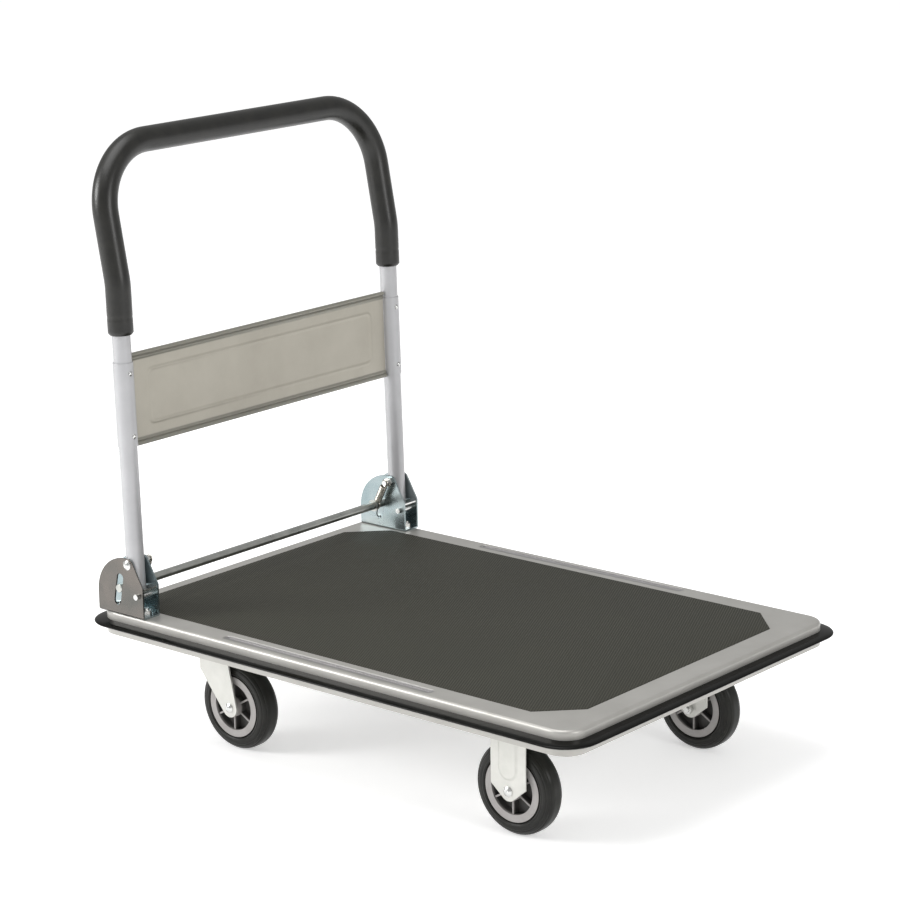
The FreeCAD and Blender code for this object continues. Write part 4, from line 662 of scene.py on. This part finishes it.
def hub_with_painted_shade(name, centre, half_width):
    """Moulded plastic, pale on the faces near the wheel's sides and painted dark down in its pockets as
    painted shade. The colour goes by the distance along Y from the middle of the wheel."""
    made = finish(name, (0.30, 0.285, 0.275), (0.36, 0.345, 0.335), (0.42, 0.55), 0.02, 0.001, 0.00003,
                  round_edge=0.0006)
    tree = made.node_tree
    shader = tree.nodes["Principled BSDF"]
    pale = shader.inputs["Base Color"].links[0].from_socket
    where = add(tree, "SeparateXYZ", Vector=add(tree, "TexCoord").outputs["Object"])
    off_middle = maths(tree, "ABSOLUTE", maths(tree, "SUBTRACT", where.outputs["Y"], centre[1]))
    near_side = add(tree, "MapRange", {"interpolation_type": "SMOOTHSTEP"}, Value=off_middle,
                    From_Min=half_width - 0.006, From_Max=half_width - 0.0012)
    # Painted shade: the dark colour deep in the pockets.
    mixed = add(tree, "MixRGB", Fac=near_side.outputs["Result"], Color1=POCKET_PAINTED_SHADE, Color2=pale)
    tree.links.new(mixed.outputs["Color"], shader.inputs["Base Color"])
    return made


tyre_rubber = finish(
    "tyre_rubber", (0.007, 0.007, 0.006), (0.016, 0.016, 0.013), (0.28, 0.42), 0.03, 0.0012, 0.00004,
    shine=0.25,
)
SHOULDER_ROUND, FACE_STEP, HUB_GAP = 0.012, 0.0005, 0.0001
GROOVE_DEPTH, GROOVE_PLACE, GROOVE_WIDTH = 0.0016, 0.0012, 0.0008
RIM_RISE, RIM_PLACE, RIM_WIDTH = 0.0005, 0.0042, 0.0008
LINE_DEPTH, LINE_TURNS, LINE_WIDTH = 0.0007, (0.42, 0.95), 0.055  # moulded lines round the shoulder, by angle
for end in ends:
    hub_low, hub_high = (np.array(corner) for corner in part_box(f"{end}_hub"))
    low, high = (np.array(corner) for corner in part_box(f"{end}_tyre"))
    middle, half_width = (low + high) / 2, (high[1] - low[1]) / 2
    radius, hub_radius = (high[2] - low[2]) / 2, (hub_high[2] - hub_low[2]) / 2
    paint(hub_with_painted_shade(f"hub_plastic_{end}", middle, half_width), f"{end}_hub")
    # Half of the section from the hub to the middle of the tread, then its mirror image.
    side = np.linspace(hub_radius + HUB_GAP, radius - SHOULDER_ROUND, 26)
    groove = GROOVE_DEPTH * np.exp(-((side - hub_radius - GROOVE_PLACE) / GROOVE_WIDTH) ** 2)
    ring = RIM_RISE * np.exp(-((side - hub_radius - RIM_PLACE) / RIM_WIDTH) ** 2)
    bend = np.linspace(0, np.pi / 2, 40)[1:]
    line = sum(LINE_DEPTH * np.exp(-((bend - at) / LINE_WIDTH) ** 2) for at in LINE_TURNS)
    rounding = SHOULDER_ROUND - line
    across = np.concatenate([half_width - FACE_STEP - groove + ring,
                             half_width - SHOULDER_ROUND + rounding * np.cos(bend), [0]])
    outer = np.concatenate([side, radius - SHOULDER_ROUND + rounding * np.sin(bend), [radius]])
    across[:26] += np.clip((side - side[0]) / (side[-1] - side[0]), 0, 1) * FACE_STEP
    section = np.vstack([np.column_stack([across, outer]), np.column_stack([-across, outer])[-2::-1]])
    spin = np.linspace(0, 2 * np.pi, 128, endpoint=False)[:, None]
    sideways = np.broadcast_to(section[:, 0], (128, len(section)))
    round_points = np.stack([np.cos(spin) * section[:, 1], sideways, np.sin(spin) * section[:, 1]], axis=-1)
    round_points = round_points + middle
    tyre = surface(f"rubber_tyre_{end}", round_points, tyre_rubber, f"{end}_wheel")
    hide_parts(f"{end}_tyre")


# Floor
# A plain pale studio floor, much wider than the cart. It glows faintly, so the shadow on it stays light.
floor_paint = finish("floor_paint", (0.87, 0.87, 0.87), (0.89, 0.89, 0.89), (0.7, 0.8), 0.5, 0.01, 0.0)
glow = floor_paint.node_tree.nodes["Principled BSDF"]
glow.inputs["Emission Color"].default_value = (1, 1, 1, 1)
glow.inputs["Emission Strength"].default_value = 0.46
floor_mesh = bpy.data.meshes.new("floor")
FLOOR_HALF = 30
corners = [(x * FLOOR_HALF, y * FLOOR_HALF, 0) for x, y in ((-1, -1), (1, -1), (1, 1), (-1, 1))]
floor_mesh.from_pydata(corners, [], [(0, 1, 2, 3)])
floor_mesh.materials.append(floor_paint)
floor = bpy.data.objects.new("floor", floor_mesh)
bpy.context.scene.collection.objects.link(floor)
